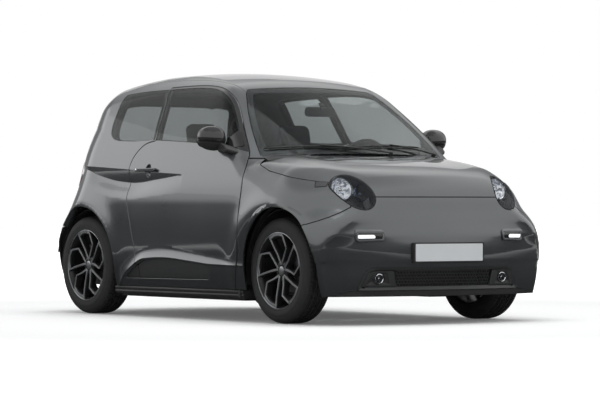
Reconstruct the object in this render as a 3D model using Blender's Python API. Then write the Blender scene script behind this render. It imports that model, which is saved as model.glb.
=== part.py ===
"""Small three-door electric hatchback. Metres, +X forward, +Y to the car's left, +Z up, ground at z = 0."""
import math

import bmesh
import bpy
import numpy as np
from mathutils import Matrix, Vector

# ---- driving sizes -------------------------------------------------------------------------------
wheelBase = 2.200
frontAxleX, rearAxleX = wheelBase / 2 - 0.0375, -wheelBase / 2 - 0.0375
hubY, tyreRadius = 0.7135, 0.3154          # wheel's middle plane and rolling radius
hubZ = tyreRadius
rimRadius, rimHalf, tyreHalf = 0.2287, 0.0945, 0.0990
panelGap, doorGap = 0.0008, 0.008          # shut lines of fixed and of moving panels
seam = 0.0004                              # between pieces that are bonded or bolted together
skinThick, doorThick, wallThick, glassThick = 0.012, 0.060, 0.050, 0.005
steerFoot, steerTop = (frontAxleX, 0.645, 0.200), (frontAxleX, 0.530, 0.800)
doorHinge = (0.676, 0.858)                 # plan place of the door's pins
gateHinge = (-1.150, 1.475)                # x, z of the tailgate's pins
hoodHinge = (0.800, 0.985)                 # x, z of the bonnet's pins
# heights where the wall, wing, trailing arm and drive unit meet what they touch
wallFoot, wingFoot, armTop, driveTop = 0.194, 0.195, 0.326, 0.440
steeringCentre, steeringTilt = (0.285, 0.360, 0.945), math.radians(25)

for old in list(bpy.data.objects):
    bpy.data.objects.remove(old, do_unlink=True)
car = bpy.data.collections.new("hatchback")
tools = bpy.data.collections.new("cutters")
bpy.context.scene.collection.children.link(car)
bpy.context.scene.collection.children.link(tools)
tools.hide_render = True

# ---- materials: name: (colour, roughness, metallic) ----------------------------------------------
palette = {
    "paint": ((0.105, 0.112, 0.116), 0.28, 0.75),
    "black_gloss": ((0.012, 0.012, 0.013), 0.12, 0.0),
    "black_plastic": ((0.022, 0.022, 0.023), 0.55, 0.0),
    "glass": ((0.10, 0.11, 0.11), 0.03, 0.0),
    "lamp": ((0.75, 0.80, 0.85), 0.08, 0.3),
    "red_lamp": ((0.45, 0.02, 0.02), 0.10, 0.0),
    "tyre": ((0.020, 0.020, 0.021), 0.85, 0.0),
    "alloy": ((0.36, 0.37, 0.38), 0.32, 0.85),
    "steel": ((0.16, 0.16, 0.17), 0.50, 0.85),
    "cabin_plastic": ((0.035, 0.036, 0.038), 0.70, 0.0),
    "cloth": ((0.060, 0.062, 0.066), 0.90, 0.0),
    "battery": ((0.12, 0.13, 0.14), 0.45, 0.6),
}
materials = {}
for slot, (colour, roughness, metallic) in palette.items():
    made = bpy.data.materials.new(slot)
    made.use_nodes = True
    shader = made.node_tree.nodes["Principled BSDF"]
    shader.inputs["Base Color"].default_value = (*colour, 1.0)
    shader.inputs["Roughness"].default_value = roughness
    shader.inputs["Metallic"].default_value = metallic
    materials[slot] = made


# ---- the body's outer surface --------------------------------------------------------------------
def curve(table):
    """Smooth curve through (position, value) rows, straight beyond the ends."""
    rows = np.array(sorted(table), float)
    xs, ys = rows[:, 0], rows[:, 1]
    gaps, slopes = np.diff(xs), np.diff(ys) / np.diff(xs)
    ends = np.empty(len(xs))
    ends[0], ends[-1] = slopes[0], slopes[-1]
    before, after = 2 * gaps[1:] + gaps[:-1], gaps[1:] + 2 * gaps[:-1]
    with np.errstate(divide="ignore", invalid="ignore"):
        mean = (before + after) / (before / slopes[:-1] + after / slopes[1:])
    ends[1:-1] = np.where(slopes[:-1] * slopes[1:] <= 0, 0.0, mean)

    def at(x):
        x = np.asarray(x, float)
        inside = np.clip(x, xs[0], xs[-1])
        i = np.clip(np.searchsorted(xs, inside, "right") - 1, 0, len(xs) - 2)
        h, u = gaps[i], (inside - xs[i]) / gaps[i]
        value = (1 + 2 * u) * (1 - u) ** 2 * ys[i] + u * (1 - u) ** 2 * h * ends[i]
        value = value + u * u * (3 - 2 * u) * ys[i + 1] + u * u * (u - 1) * h * ends[i + 1]
        return value + np.minimum(x - xs[0], 0) * ends[0] + np.maximum(x - xs[-1], 0) * ends[-1]

    return at


def both(a, b, radius):
    """The larger of two distances, its corner rounded to the radius."""
    return np.minimum(-radius, np.maximum(a, b)) + np.hypot(np.maximum(radius + a, 0), np.maximum(radius + b, 0))


def blendMax(a, b, k):
    h = np.clip(0.5 + 0.5 * (a - b) / k, 0, 1)
    return b + (a - b) * h + k * h * (1 - h)


# height, half width of the body amidships
sideWidth = curve([(0.10, 0.790), (0.20, 0.822), (0.30, 0.842), (0.45, 0.853), (0.60, 0.857), (0.70, 0.855), (0.80, 0.847),
                   (0.90, 0.830), (1.00, 0.803), (1.09, 0.772), (1.20, 0.725), (1.30, 0.678), (1.40, 0.628), (1.46, 0.595),
                   (1.55, 0.54)])
# lengthwise place, narrowing of the side there
sideTaper = curve([(-1.70, 0.035), (-1.40, 0.005), (-1.10, 0), (0.60, 0), (1.10, 0), (1.40, 0.008), (1.70, 0.045)])
# height, bow of the nose in plan, rounding of its corners
frontBow = curve([(0.2, 0.25), (0.45, 0.235), (0.54, 0.20), (0.66, 0.11), (0.75, 0.10), (0.90, 0.15)])
frontCorner = curve([(0.2, 0.05), (0.45, 0.05), (0.56, 0.12), (0.70, 0.30), (0.85, 0.34), (0.95, 0.30)])
# height, reach of nose and of tail on the centre line
frontReach = curve([(0.10, 1.640), (0.16, 1.656), (0.24, 1.663), (0.35, 1.668), (0.44, 1.670), (0.52, 1.662), (0.60, 1.634),
                    (0.67, 1.604), (0.754, 1.574), (0.803, 1.556), (0.87, 1.520), (0.95, 1.47), (1.2, 1.35)])
rearReach = curve([(0.10, 1.60), (0.25, 1.655), (0.38, 1.672), (0.46, 1.672), (0.53, 1.650), (0.60, 1.602), (0.68, 1.540),
                   (0.77, 1.492), (0.88, 1.462), (1.03, 1.452), (1.19, 1.432), (1.35, 1.385), (1.45, 1.345), (1.6, 1.27)])
# lengthwise place, height of bonnet and roof on the centre line
bonnetHeight = curve([(0.5, 1.025), (0.80, 1.014), (0.90, 1.002), (1.05, 0.982), (1.20, 0.957), (1.35, 0.922), (1.48, 0.873),
                      (1.56, 0.825), (1.64, 0.76)])
roofHeight = curve([(0.40, 1.415), (0.22, 1.462), (0.10, 1.492), (0.0, 1.512), (-0.20, 1.538), (-0.40, 1.549), (-0.60, 1.545),
                    (-0.80, 1.531), (-1.0, 1.507), (-1.2, 1.472), (-1.35, 1.435), (-1.5, 1.39)])
screenSlope, screenFoot = 0.682, (0.868, 1.003)


def body(x, y, z):
    """Roughly the distance outside the body's outer surface."""
    y = np.abs(y)
    low = np.clip((1.10 - z) / 0.25, 0, 1)
    width = sideWidth(z) - sideTaper(x) * (0.35 + 0.65 * low * low * (3 - 2 * low))
    for axle in (frontAxleX, rearAxleX):
        ring = np.hypot(x - axle, z - hubZ) - 0.40
        width = width + 0.016 * np.exp(-((ring / 0.085) ** 2))
    width = width - 0.045 * np.clip((x - 1.05) / 0.35, 0, 1) ** 2 * np.clip((z - 0.55) / 0.20, 0, 1)
    bonnet = bonnetHeight(x) - 0.083 * y * y * np.minimum(y / 0.6, 1.3)
    bonnet = bonnet + 0.012 * np.exp(-(((y - 0.55) / 0.13) ** 2)) * np.clip((1.5 - x) / 0.4, 0, 1)
    bow = np.clip(0.36 - 0.62 * (z - 1.0), 0.08, 0.36)
    screen = screenFoot[1] + screenSlope * (screenFoot[0] - bow * y * y - x)
    roof = roofHeight(x) - 0.115 * y * y
    top = blendMax(bonnet, -blendMax(-roof, -screen, 0.04), 0.012)
    edge = 0.10 + 0.05 * np.clip((x - 0.75) / 0.3, 0, 1) - 0.03 * np.exp(-(((x - 0.55) / 0.25) ** 2))
    edge = edge - 0.07 * np.clip((x - 1.25) / 0.2, 0, 1)
    d = both(y - width, (x - frontReach(z) + frontBow(z) * y * y) * 0.93, frontCorner(z))
    d = both(d, (z - top) * 0.85, edge)
    corner = 0.28 + 0.06 * np.clip((z - 0.45) / 0.2, 0, 1) - 0.14 * np.clip((z - 1.2) / 0.3, 0, 1)
    return both(d, (-x - rearReach(z) + 0.10 * y * y) * 0.97, corner)


def hit(o, v):
    """Where the ray from the inside point o along v leaves the body."""
    o, v = np.broadcast_arrays(np.asarray(o, float), np.asarray(v, float))
    v = v / np.linalg.norm(v, axis=-1, keepdims=True)
    near, far = np.zeros(o.shape[:-1]), np.full(o.shape[:-1], 3.0)
    for _ in range(34):
        middle = (near + far) / 2
        p = o + v * middle[..., None]
        outside = body(p[..., 0], p[..., 1], p[..., 2]) > 0
        far = np.where(outside, middle, far)
        near = np.where(outside, near, middle)
    return o + v * near[..., None]


def inward(p, depth):
    """Points moved in from the surface by the depth."""
    h = 0.002
    x, y, z = p[..., 0], p[..., 1], p[..., 2]
    n = np.stack([body(x + h, y, z) - body(x - h, y, z), body(x, y + h, z) - body(x, y - h, z),
                  body(x, y, z + h) - body(x, y, z - h)], -1)
    return p - n / np.linalg.norm(n, axis=-1, keepdims=True) * depth


# Ways to lay a grid over the surface. Each takes two lists and gives rays.
spineRear, spineFront, spineTop = -0.75, 0.10, 1.15


def aroundRays(plan, tall):
    """plan: x along the side, then beyond a spine end 0.8 m per radian round the corner. tall: z, then 0.5 m per radian."""
    s, t = np.broadcast_arrays(plan, tall) if np.ndim(tall) == 2 else np.meshgrid(plan, tall, indexing="ij")
    turn = np.clip((spineRear - s) / 0.8, 0, 3) - np.clip((s - spineFront) / 0.8, 0, 3)
    phi = math.pi / 2 + turn
    theta = np.clip((t - spineTop) / 0.5, 0, 1.6)
    o = np.stack([np.clip(s, spineRear, spineFront), 0 * s, np.minimum(t, spineTop)], -1)
    return o, np.stack([np.cos(phi) * np.cos(theta), np.sin(phi) * np.cos(theta), np.sin(theta)], -1)


def fanRays(x, z, angles, widths):
    """Rays in planes across the car, from a line at x, z; the angle is from straight up, positive forward."""
    a, y = np.meshgrid(np.radians(angles), widths, indexing="ij")
    return np.stack([x + 0 * a, y, z + 0 * a], -1), np.stack([np.sin(a), 0 * a, np.cos(a)], -1)


# ---- building helpers ----------------------------------------------------------------------------
def place(name, mesh, slot, helper=False):
    made = bpy.data.objects.new(name, mesh)
    (tools if helper else car).objects.link(made)
    if slot:
        mesh.materials.append(materials[slot])
    if helper:
        made.hide_render = True
        made.display_type = "WIRE"
    return made


def finish(bm, name, slot, helper=False):
    bmesh.ops.remove_doubles(bm, verts=bm.verts[:], dist=1e-6)
    bmesh.ops.recalc_face_normals(bm, faces=bm.faces[:])
    mesh = bpy.data.meshes.new(name)
    bm.to_mesh(mesh)
    bm.free()
    return place(name, mesh, slot, helper)


def sheet(name, outer, inner, slot, helper=False):
    """Solid between two like grids of points."""
    rows, columns = outer.shape[:2]
    bm = bmesh.new()
    number = bm.verts.layers.int.new("number")
    bmesh.ops.create_grid(bm, x_segments=rows - 1, y_segments=columns - 1, size=1)
    for v in bm.verts:
        i, j = round((v.co.x + 1) / 2 * (rows - 1)), round((v.co.y + 1) / 2 * (columns - 1))
        v[number] = i * columns + j
    grown = bmesh.ops.extrude_face_region(bm, geom=bm.faces[:], use_keep_orig=True)["geom"]
    new = {v for v in grown if isinstance(v, bmesh.types.BMVert)}
    flatOuter, flatInner = outer.reshape(-1, 3), inner.reshape(-1, 3)
    for v in bm.verts:
        v.co = flatInner[v[number]] if v in new else flatOuter[v[number]]
    bmesh.ops.triangulate(bm, faces=bm.faces[:])
    return finish(bm, name, slot, helper)


def shell(name, rays, slot, near, far, helper=False):
    """Piece of the body's wall between two depths under the surface."""
    p = hit(*rays)
    near, far = (depth(p)[..., None] if callable(depth) else depth for depth in (near, far))
    return sheet(name, inward(p, near), inward(p, far), slot, helper)


def prism(name, outline, axis, low, high, slot=None, helper=True):
    """Outline in the plane across the axis, run from low to high along it."""
    order = {"X": lambda a, b, c: (c, a, b), "Y": lambda a, b, c: (a, c, b), "Z": lambda a, b, c: (a, b, c)}[axis]
    bm = bmesh.new()
    base = bm.faces.new([bm.verts.new(order(a, b, low)) for a, b in outline])
    grown = bmesh.ops.extrude_face_region(bm, geom=[base], use_keep_orig=True)["geom"]
    step = Vector(order(0.0, 0.0, high - low))
    bmesh.ops.translate(bm, vec=step, verts=[v for v in grown if isinstance(v, bmesh.types.BMVert)])
    return finish(bm, name, slot, helper)


def box(name, low, high, slot=None, helper=True, bevel=0.0, segments=2):
    bm = bmesh.new()
    bmesh.ops.create_cube(bm, size=1)
    size = [b - a for a, b in zip(low, high)]
    bmesh.ops.scale(bm, vec=size, verts=bm.verts[:])
    bmesh.ops.translate(bm, vec=[(a + b) / 2 for a, b in zip(low, high)], verts=bm.verts[:])
    if bevel:
        bmesh.ops.bevel(bm, geom=bm.edges[:], offset=bevel, segments=segments, affect="EDGES", profile=0.5)
    return finish(bm, name, slot, helper)


def lathe(name, profile, centre, axis, steps, slot=None, helper=True, closed=True):
    """profile: (radius, distance along the axis)."""
    bm = bmesh.new()
    verts = [bm.verts.new((r, 0, h)) for r, h in profile]
    pairs = list(zip(verts, verts[1:])) + ([(verts[-1], verts[0])] if closed else [])
    edges = [bm.edges.new(pair) for pair in pairs]
    bmesh.ops.spin(bm, geom=verts + edges, cent=(0, 0, 0), axis=(0, 0, 1), angle=2 * math.pi, steps=steps, use_merge=True)
    turn = Vector((0, 0, 1)).rotation_difference(Vector(axis)).to_matrix().to_4x4()
    bmesh.ops.transform(bm, matrix=Matrix.Translation(centre) @ turn, verts=bm.verts[:])
    return finish(bm, name, slot, helper)


def rod(name, start, end, radius, steps=16, slot=None, helper=True):
    a, b = Vector(start), Vector(end)
    length = (b - a).length
    return lathe(name, [(0, 0), (radius, 0), (radius, length), (0, length)], a, (b - a) / length, steps, slot, helper, False)


def boolean(target, other, operation):
    step = target.modifiers.new(operation.lower(), "BOOLEAN")
    step.operation = operation
    step.solver = "EXACT"
    if isinstance(other, bpy.types.Collection):
        step.operand_type = "COLLECTION"
        step.collection = other
    else:
        step.object = other
    return target


def keep(target, other):
    return boolean(target, other, "INTERSECT")


def cut(target, *others):
    for other in others:
        boolean(target, other, "DIFFERENCE")
    return target


def fuse(target, *others):
    for other in others:
        boolean(target, other, "UNION")
    return target


def grow(outline, distance):
    """Outline with each side moved out by the distance."""
    p = np.array(outline, float)
    before, after = p - np.roll(p, 1, 0), np.roll(p, -1, 0) - p
    area = np.sum(p[:, 0] * np.roll(p[:, 1], -1) - p[:, 1] * np.roll(p[:, 0], -1))
    side = 1.0 if area > 0 else -1.0
    na = np.stack([before[:, 1], -before[:, 0]], 1) / np.linalg.norm(before, axis=1)[:, None] * side
    nb = np.stack([after[:, 1], -after[:, 0]], 1) / np.linalg.norm(after, axis=1)[:, None] * side
    mid = na + nb
    mid = mid / (mid * na).sum(1)[:, None]
    return [tuple(q) for q in p + mid * distance]


def round_off(outline, times=1):
    """Outline with its corners cut again and again, which rounds them."""
    p = np.array(outline, float)
    for _ in range(times):
        q = np.roll(p, -1, 0)
        p = np.stack([0.75 * p + 0.25 * q, 0.25 * p + 0.75 * q], 1).reshape(-1, 2)
    return [tuple(q) for q in p]


def mirrored(outline):
    return [(-a, b) for a, b in outline]


def arch(centreX, forward, back, tall, foot=0.10):
    """Wheel opening seen from the side."""
    points = [(centreX + forward, foot), (centreX + forward, hubZ * 0.8)]
    for k in range(0, 13):
        a = math.pi * k / 12
        reach = forward if math.cos(a) > 0 else back
        points.append((centreX + reach * math.cos(a), hubZ + (tall - hubZ) * math.sin(a)))
    points += [(centreX - back, hubZ * 0.8), (centreX - back, foot)]
    return points


# ---- shut lines, seen from the side (x, z), from ahead (y, z) or from above (x, y) --------------------
doorLine = [(0.653, 0.192), (0.704, 0.368), (0.717, 0.495), (0.716, 0.657), (0.728, 0.780), (0.729, 0.863), (0.703, 0.940),
            (0.677, 0.984), (0.650, 1.027), (0.567, 1.112), (0.503, 1.174), (0.433, 1.241), (0.365, 1.301), (0.310, 1.345),
            (0.266, 1.376), (0.195, 1.411), (0.103, 1.438), (0.000, 1.450), (-0.100, 1.455), (-0.250, 1.455), (-0.445, 1.450),
            (-0.408, 1.320), (-0.384, 1.198), (-0.358, 1.110), (-0.462, 1.096), (-0.524, 1.054), (-0.572, 0.998),
            (-0.586, 0.933), (-0.583, 0.850), (-0.566, 0.739), (-0.518, 0.593), (-0.469, 0.412), (-0.446, 0.244), (-0.446, 0.192)]
doorWindow = [(-0.338, 1.124), (-0.140, 1.112), (0.100, 1.099), (0.300, 1.083), (0.550, 1.062), (0.572, 1.074), (0.490, 1.156),
              (0.420, 1.221), (0.352, 1.281), (0.298, 1.324), (0.255, 1.353), (0.188, 1.386), (0.098, 1.413), (0.000, 1.425),
              (-0.100, 1.430), (-0.250, 1.430), (-0.417, 1.426), (-0.386, 1.310), (-0.362, 1.198)]
quarterWindow = [(-0.400, 1.118), (-0.596, 1.114), (-0.787, 1.122), (-0.851, 1.130), (-0.906, 1.156), (-0.933, 1.200),
                 (-0.943, 1.262), (-0.944, 1.334), (-0.950, 1.400), (-0.935, 1.412), (-0.815, 1.419), (-0.641, 1.425),
                 (-0.482, 1.427), (-0.447, 1.320), (-0.421, 1.198)]
frontArch = arch(1.110, 0.375, 0.355, 0.693)
rearArch = arch(-1.105, 0.400, 0.415, 0.696)
fenderZone = [(0.55, wingFoot), (1.20, wingFoot), (1.30, 0.560), (1.397, 0.595), (1.464, 0.614), (1.515, 0.655), (1.80, 0.720),
              (1.80, 1.10), (0.55, 1.10)]
bonnetZone = [(0.700, 1.30), (0.700, 0.985), (0.795, 0.949), (0.925, 0.908), (1.124, 0.872), (1.265, 0.851), (1.400, 0.835),
              (1.80, 0.80), (1.80, 1.30)]
screenHalf = [(0.0, 1.022), (0.35, 1.016), (0.682, 1.002), (0.674, 1.038), (0.650, 1.112), (0.603, 1.225), (0.548, 1.320),
              (0.490, 1.400), (0.462, 1.421), (0.350, 1.431), (0.174, 1.439), (0.0, 1.443)]
screenLine = screenHalf + [(-y, z) for y, z in screenHalf[-2:0:-1]]
roofLine = [(0.60, -0.493), (0.20, -0.508), (-0.30, -0.533), (-0.80, -0.530), (-1.165, -0.505),
            (-1.165, 0.505), (-0.80, 0.530), (-0.30, 0.533), (0.20, 0.508), (0.60, 0.493)]
gateSide = [(0.620, 0.610), (0.700, 0.632), (0.900, 0.645), (1.100, 0.634), (1.250, 0.603), (1.340, 0.576), (1.400, 0.564), (1.460, 0.560)]
gateLine = [(y, z) for z, y in gateSide] + [(0.558, 1.60), (-0.558, 1.60)] + [(-y, z) for z, y in reversed(gateSide)]
gateWindow = round_off([(0.500, 1.090), (0.440, 1.365), (0.300, 1.385), (-0.300, 1.385), (-0.440, 1.365), (-0.500, 1.090),
                        (-0.300, 1.070), (0.300, 1.070)], 1)
bonnetLine = [(0.796, -0.90), (1.90, -0.90), (1.90, 0.90), (0.796, 0.90), (0.802, 0.700), (0.842, 0.450), (0.882, 0.0),
              (0.842, -0.450), (0.802, -0.700)]
noseCut = 0.752
roofRear = -1.161                          # rear edge of the roof, over the tailgate
cowlLine = [(0.668, -0.660), (0.790, -0.690), (0.832, -0.45), (0.872, 0.0), (0.832, 0.45), (0.790, 0.690), (0.668, 0.660)]
bumperRearZone = [(-1.80, 0.05), (-1.80, 0.612), (-1.55, 0.600), (-1.40, 0.560), (-1.20, 0.50), (-1.20, 0.05)]
lampCentre = Vector((1.4753, 0.5549, 0.7807))
lampAlong, lampAcross = Vector((0.7014, -0.4360, -0.5639)), Vector((0.0938, 0.8407, -0.5334))
lampNormal = Vector((0.7066, 0.3212, 0.6305))
# along the lamp, across it
lampShape = [(-0.135, 0.078), (-0.159, 0.023), (-0.152, -0.033), (-0.117, -0.079), (-0.052, -0.095), (0.027, -0.095),
             (0.094, -0.078), (0.131, -0.052), (0.150, -0.006), (0.140, 0.048), (0.097, 0.087), (0.028, 0.101), (-0.052, 0.100)]
tailLampHeight, tailLampRadius = 0.905, 0.082


def lampPrism(name, side, spread, slot=None, helper=True, low=-0.2, high=0.25):
    """Outline of the headlamp, run along its axis."""
    bm = bmesh.new()
    outline = grow(lampShape, spread)
    points = [lampCentre + lampAlong * u + lampAcross * v + lampNormal * low for u, v in outline]
    base = bm.faces.new([bm.verts.new((p.x, p.y * side, p.z)) for p in points])
    grown = bmesh.ops.extrude_face_region(bm, geom=[base], use_keep_orig=True)["geom"]
    run = lampNormal * (high - low)
    bmesh.ops.translate(bm, vec=(run.x, run.y * side, run.z), verts=[v for v in grown if isinstance(v, bmesh.types.BMVert)])
    return finish(bm, name, slot, helper)


# ---- grids for the panels ----------------------------------------------------------------------------
def steps(*stops):
    """Even steps between stops: start, (end, count), (end, count) ..."""
    out = [stops[0]]
    for end, count in stops[1:]:
        out += list(np.linspace(out[-1], end, count + 1)[1:])
    return out


sidePlan = steps(-1.75, (-0.75, 8), (0.10, 4), (0.80, 6))
sideTall = steps(0.150, (0.30, 1), (1.15, 7), (1.53, 5))
doorPlan = steps(-0.75, (0.10, 5), (0.80, 6))


def doorDepth(p):
    return doorThick - 0.036 * np.clip((p[..., 2] - 1.02) / 0.10, 0, 1) - 0.022 * np.clip((0.36 - p[..., 2]) / 0.10, 0, 1)


# pressed forms of the side: edges of the scoop behind the door handle and of the band over the sill, x to z
scoopTop = curve([(-1.30, 0.965), (-1.108, 0.957), (-0.856, 0.945), (-0.501, 0.926), (-0.224, 0.908), (0.065, 0.895)])
scoopLow = curve([(-1.30, 0.955), (-1.093, 0.932), (-0.955, 0.899), (-0.709, 0.861), (-0.522, 0.851), (-0.256, 0.868), (0.065, 0.894)])
bandTop = curve([(-0.76, 0.20), (-0.687, 0.288), (-0.576, 0.363), (-0.412, 0.419), (-0.186, 0.446), (-0.010, 0.436), (0.312, 0.404),
                 (0.721, 0.369)])
bandLow = curve([(-0.70, 0.15), (-0.647, 0.227), (-0.515, 0.315), (-0.349, 0.372), (-0.124, 0.381), (0.200, 0.362), (0.411, 0.347),
                 (0.719, 0.341)])
scoopSlope, scoopReturn, bandSwell = 0.30, 0.12, 0.015


def ease(value):
    value = np.clip(value, 0, 1)
    return value * value * (3 - 2 * value)


def pressed(p):
    """Depth of the side's pressed forms at points of the skin."""
    x, z = p[..., 0], p[..., 2]
    top, low = scoopTop(x), scoopLow(x)
    tall = np.clip(top - low, 0, 1)
    deepest = scoopSlope * tall * np.clip((0.065 - x) / 0.03, 0, 1)
    depth = deepest * np.clip((top - z) / np.maximum(tall, 1e-4), 0, 1) * (1 - ease((low - z) / scoopReturn))
    high, foot = bandTop(x), bandLow(x)
    swell = bandSwell * ease((x + 0.76) / 0.16) * (0.25 + 0.75 * ease((0.80 - x) / 0.55)) * (x < 0.80)
    u, drop = np.clip((high - z) / np.maximum(high - foot, 0.01), 0, 1), np.clip((foot - z) / 0.010, 0, 1)
    return depth - swell * np.where(z > foot, u ** 1.6, 1 - 0.8 * drop)


def sideRays(plan, first=0, last=15):
    """Rays round the side in rows that follow the pressed edges."""
    s = np.array(plan, float)
    x = np.where(s < spineRear, spineRear - 0.85 * np.tan((spineRear - s) / 0.8), s)
    x = np.clip(x, -1.5, 1.0)
    low, top = np.maximum(bandLow(x), 0.235), np.maximum(bandTop(x), 0.270)
    under = np.minimum(scoopLow(x), scoopTop(x) - 0.012)
    rows = [0.150, 0.210, low - 0.011, low, top, 0.600, 0.760, under, scoopTop(x), 1.030, spineTop, 1.245, 1.340, 1.435, 1.530]
    tall = np.stack([row + 0 * s for row in rows[first:last]], 1)
    return aroundRays(s[:, None], tall)


def wallDepth(p):
    """Thickness of a whole wall: thinner beside the windows."""
    return wallThick - 0.022 * np.clip((p[..., 2] - 1.02) / 0.10, 0, 1)


def flipped(rays, side):
    o, v = rays
    scale = np.array([1.0, side, 1.0])
    return o * scale, v * scale


allX, allY = (-2.0, 2.0), (-1.2, 1.2)
for side, word in ((1, "left"), (-1, "right")):
    reach = (0.30, 1.20) if side > 0 else (-1.20, -0.30)
    doorHole = prism(f"door_hole_{word}", grow(doorLine, doorGap / 2), "Y", *reach)
    doorBlank = prism(f"door_blank_{word}", grow(doorLine, -doorGap / 2), "Y", *reach)
    doorInset = prism(f"door_inset_{word}", grow(doorLine, -doorGap / 2 - 0.020), "Y", *reach)
    for piece, pillar in ((doorHole, 0.020), (doorBlank, 0.020 + doorGap), (doorInset, 0.040 + doorGap)):
        cut(piece, prism(f"pillar_{piece.name}", grow(screenLine, pillar), "X", 0.0, 1.3))
    windowHole = prism(f"window_hole_{word}", doorWindow, "Y", *reach)
    quarterHole = prism(f"quarter_hole_{word}", quarterWindow, "Y", *reach)
    frontArchHole = prism(f"front_arch_hole_{word}", frontArch, "Y", *reach)
    rearArchHole = prism(f"rear_arch_hole_{word}", rearArch, "Y", *reach)
    lampHole = lampPrism(f"lamp_hole_{word}", side, panelGap / 2)
    tailOut = (-0.72, 0.69 * side, 0.05)
    tailSpot = hit(np.array([-1.12, 0.49 * side, tailLampHeight]), np.array([-0.55, 0.83 * side, 0.0]))
    tailHole = lathe(f"tail_hole_{word}", [(0, -0.15), (tailLampRadius + panelGap, -0.15), (tailLampRadius + panelGap, 0.15), (0, 0.15)],
                     tailSpot, tailOut, 24, closed=False)

    # side wall from the windscreen to the tailgate
    wall = shell(f"body_side_{word}", flipped(sideRays(sidePlan), side), "paint", pressed, wallDepth)
    outsideOfSide = prism(f"side_zone_{word}", [(-1.8, 0.612 + panelGap), (-1.55, 0.600 + panelGap), (-1.40, 0.560 + panelGap),
                                                (-1.20, 0.50 + panelGap), (-1.20, wallFoot), (-0.40, wallFoot), (0.0, 0.99), (0.770, 0.992), (0.80, 1.7),
                                                (-1.8, 1.7)], "Y", *reach)
    keep(wall, outsideOfSide)
    cut(wall, doorHole, quarterHole, rearArchHole)
    cut(wall, prism(f"screen_cut_{word}", screenLine, "X", 0.0, 1.3),
        prism(f"roof_cut_{word}", grow(roofLine, panelGap / 2), "Z", 1.30, 1.8),
        prism(f"cowl_room_{word}", grow(cowlLine, seam), "Z", 0.6, 1.0 + seam), prism(f"gate_cut_{word}", grow(gateLine, doorGap / 2), "X", -2.0, roofRear), tailHole)

    # quarter window
    pane = shell(f"quarter_glass_{word}", flipped(aroundRays(steps(-1.0, (-0.75, 2), (-0.30, 2)), steps(1.10, (1.15, 1), (1.36, 4))), side),
                 "glass", 0.002, 0.002 + glassThick)
    keep(pane, prism(f"quarter_pane_{word}", grow(quarterWindow, -seam), "Y", *reach))

    # door: outer skin and, set in from its edge, the thick inner part
    door = shell(f"door_{word}", flipped(sideRays(doorPlan), side), "paint", pressed, doorDepth)
    rim = shell(f"door_rim_{word}", flipped(sideRays(doorPlan), side), None, lambda p: pressed(p) + skinThick, 0.110, True)
    cut(rim, doorInset)
    keep(door, doorBlank)
    cut(door, rim, windowHole)
    handleLow, handleHigh = sorted((0.795 * side, 0.853 * side))
    fuse(door, box(f"handle_{word}", (-0.490, handleLow, 0.908), (-0.245, handleHigh, 0.944), bevel=0.012, segments=1))
    glass = shell(f"door_glass_{word}", flipped(aroundRays(steps(-0.45, (0.10, 2), (0.60, 5)), steps(1.05, (1.15, 1), (1.35, 4))), side),
                  "glass", 0.003, 0.003 + glassThick)
    keep(glass, prism(f"door_pane_{word}", grow(doorWindow, -seam), "Y", *reach))

    # front wing
    wing = shell(f"fender_{word}", flipped(aroundRays(steps(0.58, (1.25, 8)), sideTall[:9]), side), "paint", 0, skinThick)
    keep(wing, prism(f"fender_zone_{word}", fenderZone, "Y", *((0.56, 1.20) if side > 0 else (-1.20, -0.56))))
    cut(wing, doorHole, frontArchHole, lampHole, prism(f"hood_cut_{word}", grow(bonnetZone, doorGap / 2), "Y", *reach),
        prism(f"pillar_cut_{word}", [(0.30, 0.9890), (0.770, 0.9910), (0.80, 1.3), (0.30, 1.3)], "Y", *reach),
        box(f"cowl_cut_{word}", (0.3, -0.700, 0.6), (0.80, 0.700, 1.3)))

    # headlamp and tail lamp
    lamp = shell(f"headlamp_{word}", flipped(fanRays(1.05, 0.62, steps(30, (96, 7)), steps(0.37, (0.74, 6))), side), "lamp", 0.001, 0.060)
    keep(lamp, lampPrism(f"lamp_blank_{word}", side, -panelGap / 2))
    tail = shell(f"tail_lamp_{word}", flipped(aroundRays(steps(-1.75, (-0.95, 8)), steps(0.78, (1.03, 4))), side), "red_lamp", 0.001, 0.045)
    keep(tail, lathe(f"tail_blank_{word}", [(0, -0.15), (tailLampRadius, -0.15), (tailLampRadius, 0.15), (0, 0.15)],
                     tailSpot, tailOut, 24, closed=False))

    # outside mirror: housing on its foot
    bm = bmesh.new()
    bmesh.ops.create_uvsphere(bm, u_segments=11, v_segments=7, radius=1)
    for v in bm.verts:
        full = [math.copysign(abs(c) ** 0.72, c) for c in v.co]
        v.co = (0.402 + 0.070 * full[0] * (1 - 0.12 * full[1]), side * (0.862 + 0.078 * full[1]), 1.112 + 0.076 * full[2])
    mirror = finish(bm, f"mirror_{word}", "black_gloss")
    foot = prism(f"mirror_foot_{word}", [(0.40, 1.048), (0.48, 1.008), (0.58, 1.004), (0.60, 1.028), (0.50, 1.052)], "Y",
                 *((0.740, 0.84) if side > 0 else (-0.84, -0.740)))
    fuse(mirror, foot)
    cut(mirror, shell(f"mirror_seat_{word}", flipped(sideRays(doorPlan[5:], 7, 12), side), None, -seam, 0.080, True))

# ---- panels across the car ---------------------------------------------------------------------------
roof = shell("roof_panel", fanRays(-0.4, 0.8, steps(-58, (58, 12)), steps(-0.56, (0.56, 6))), "paint", 0, 0.018)
keep(roof, prism("roof_blank", grow(roofLine, -panelGap / 2), "Z", 1.20, 1.8))
cut(roof, prism("screen_roof_cut", screenLine, "X", 0.0, 1.3))
cut(roof, box("roof_rear_cut", (-2, -1, 1), (roofRear, 1, 2)))

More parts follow.
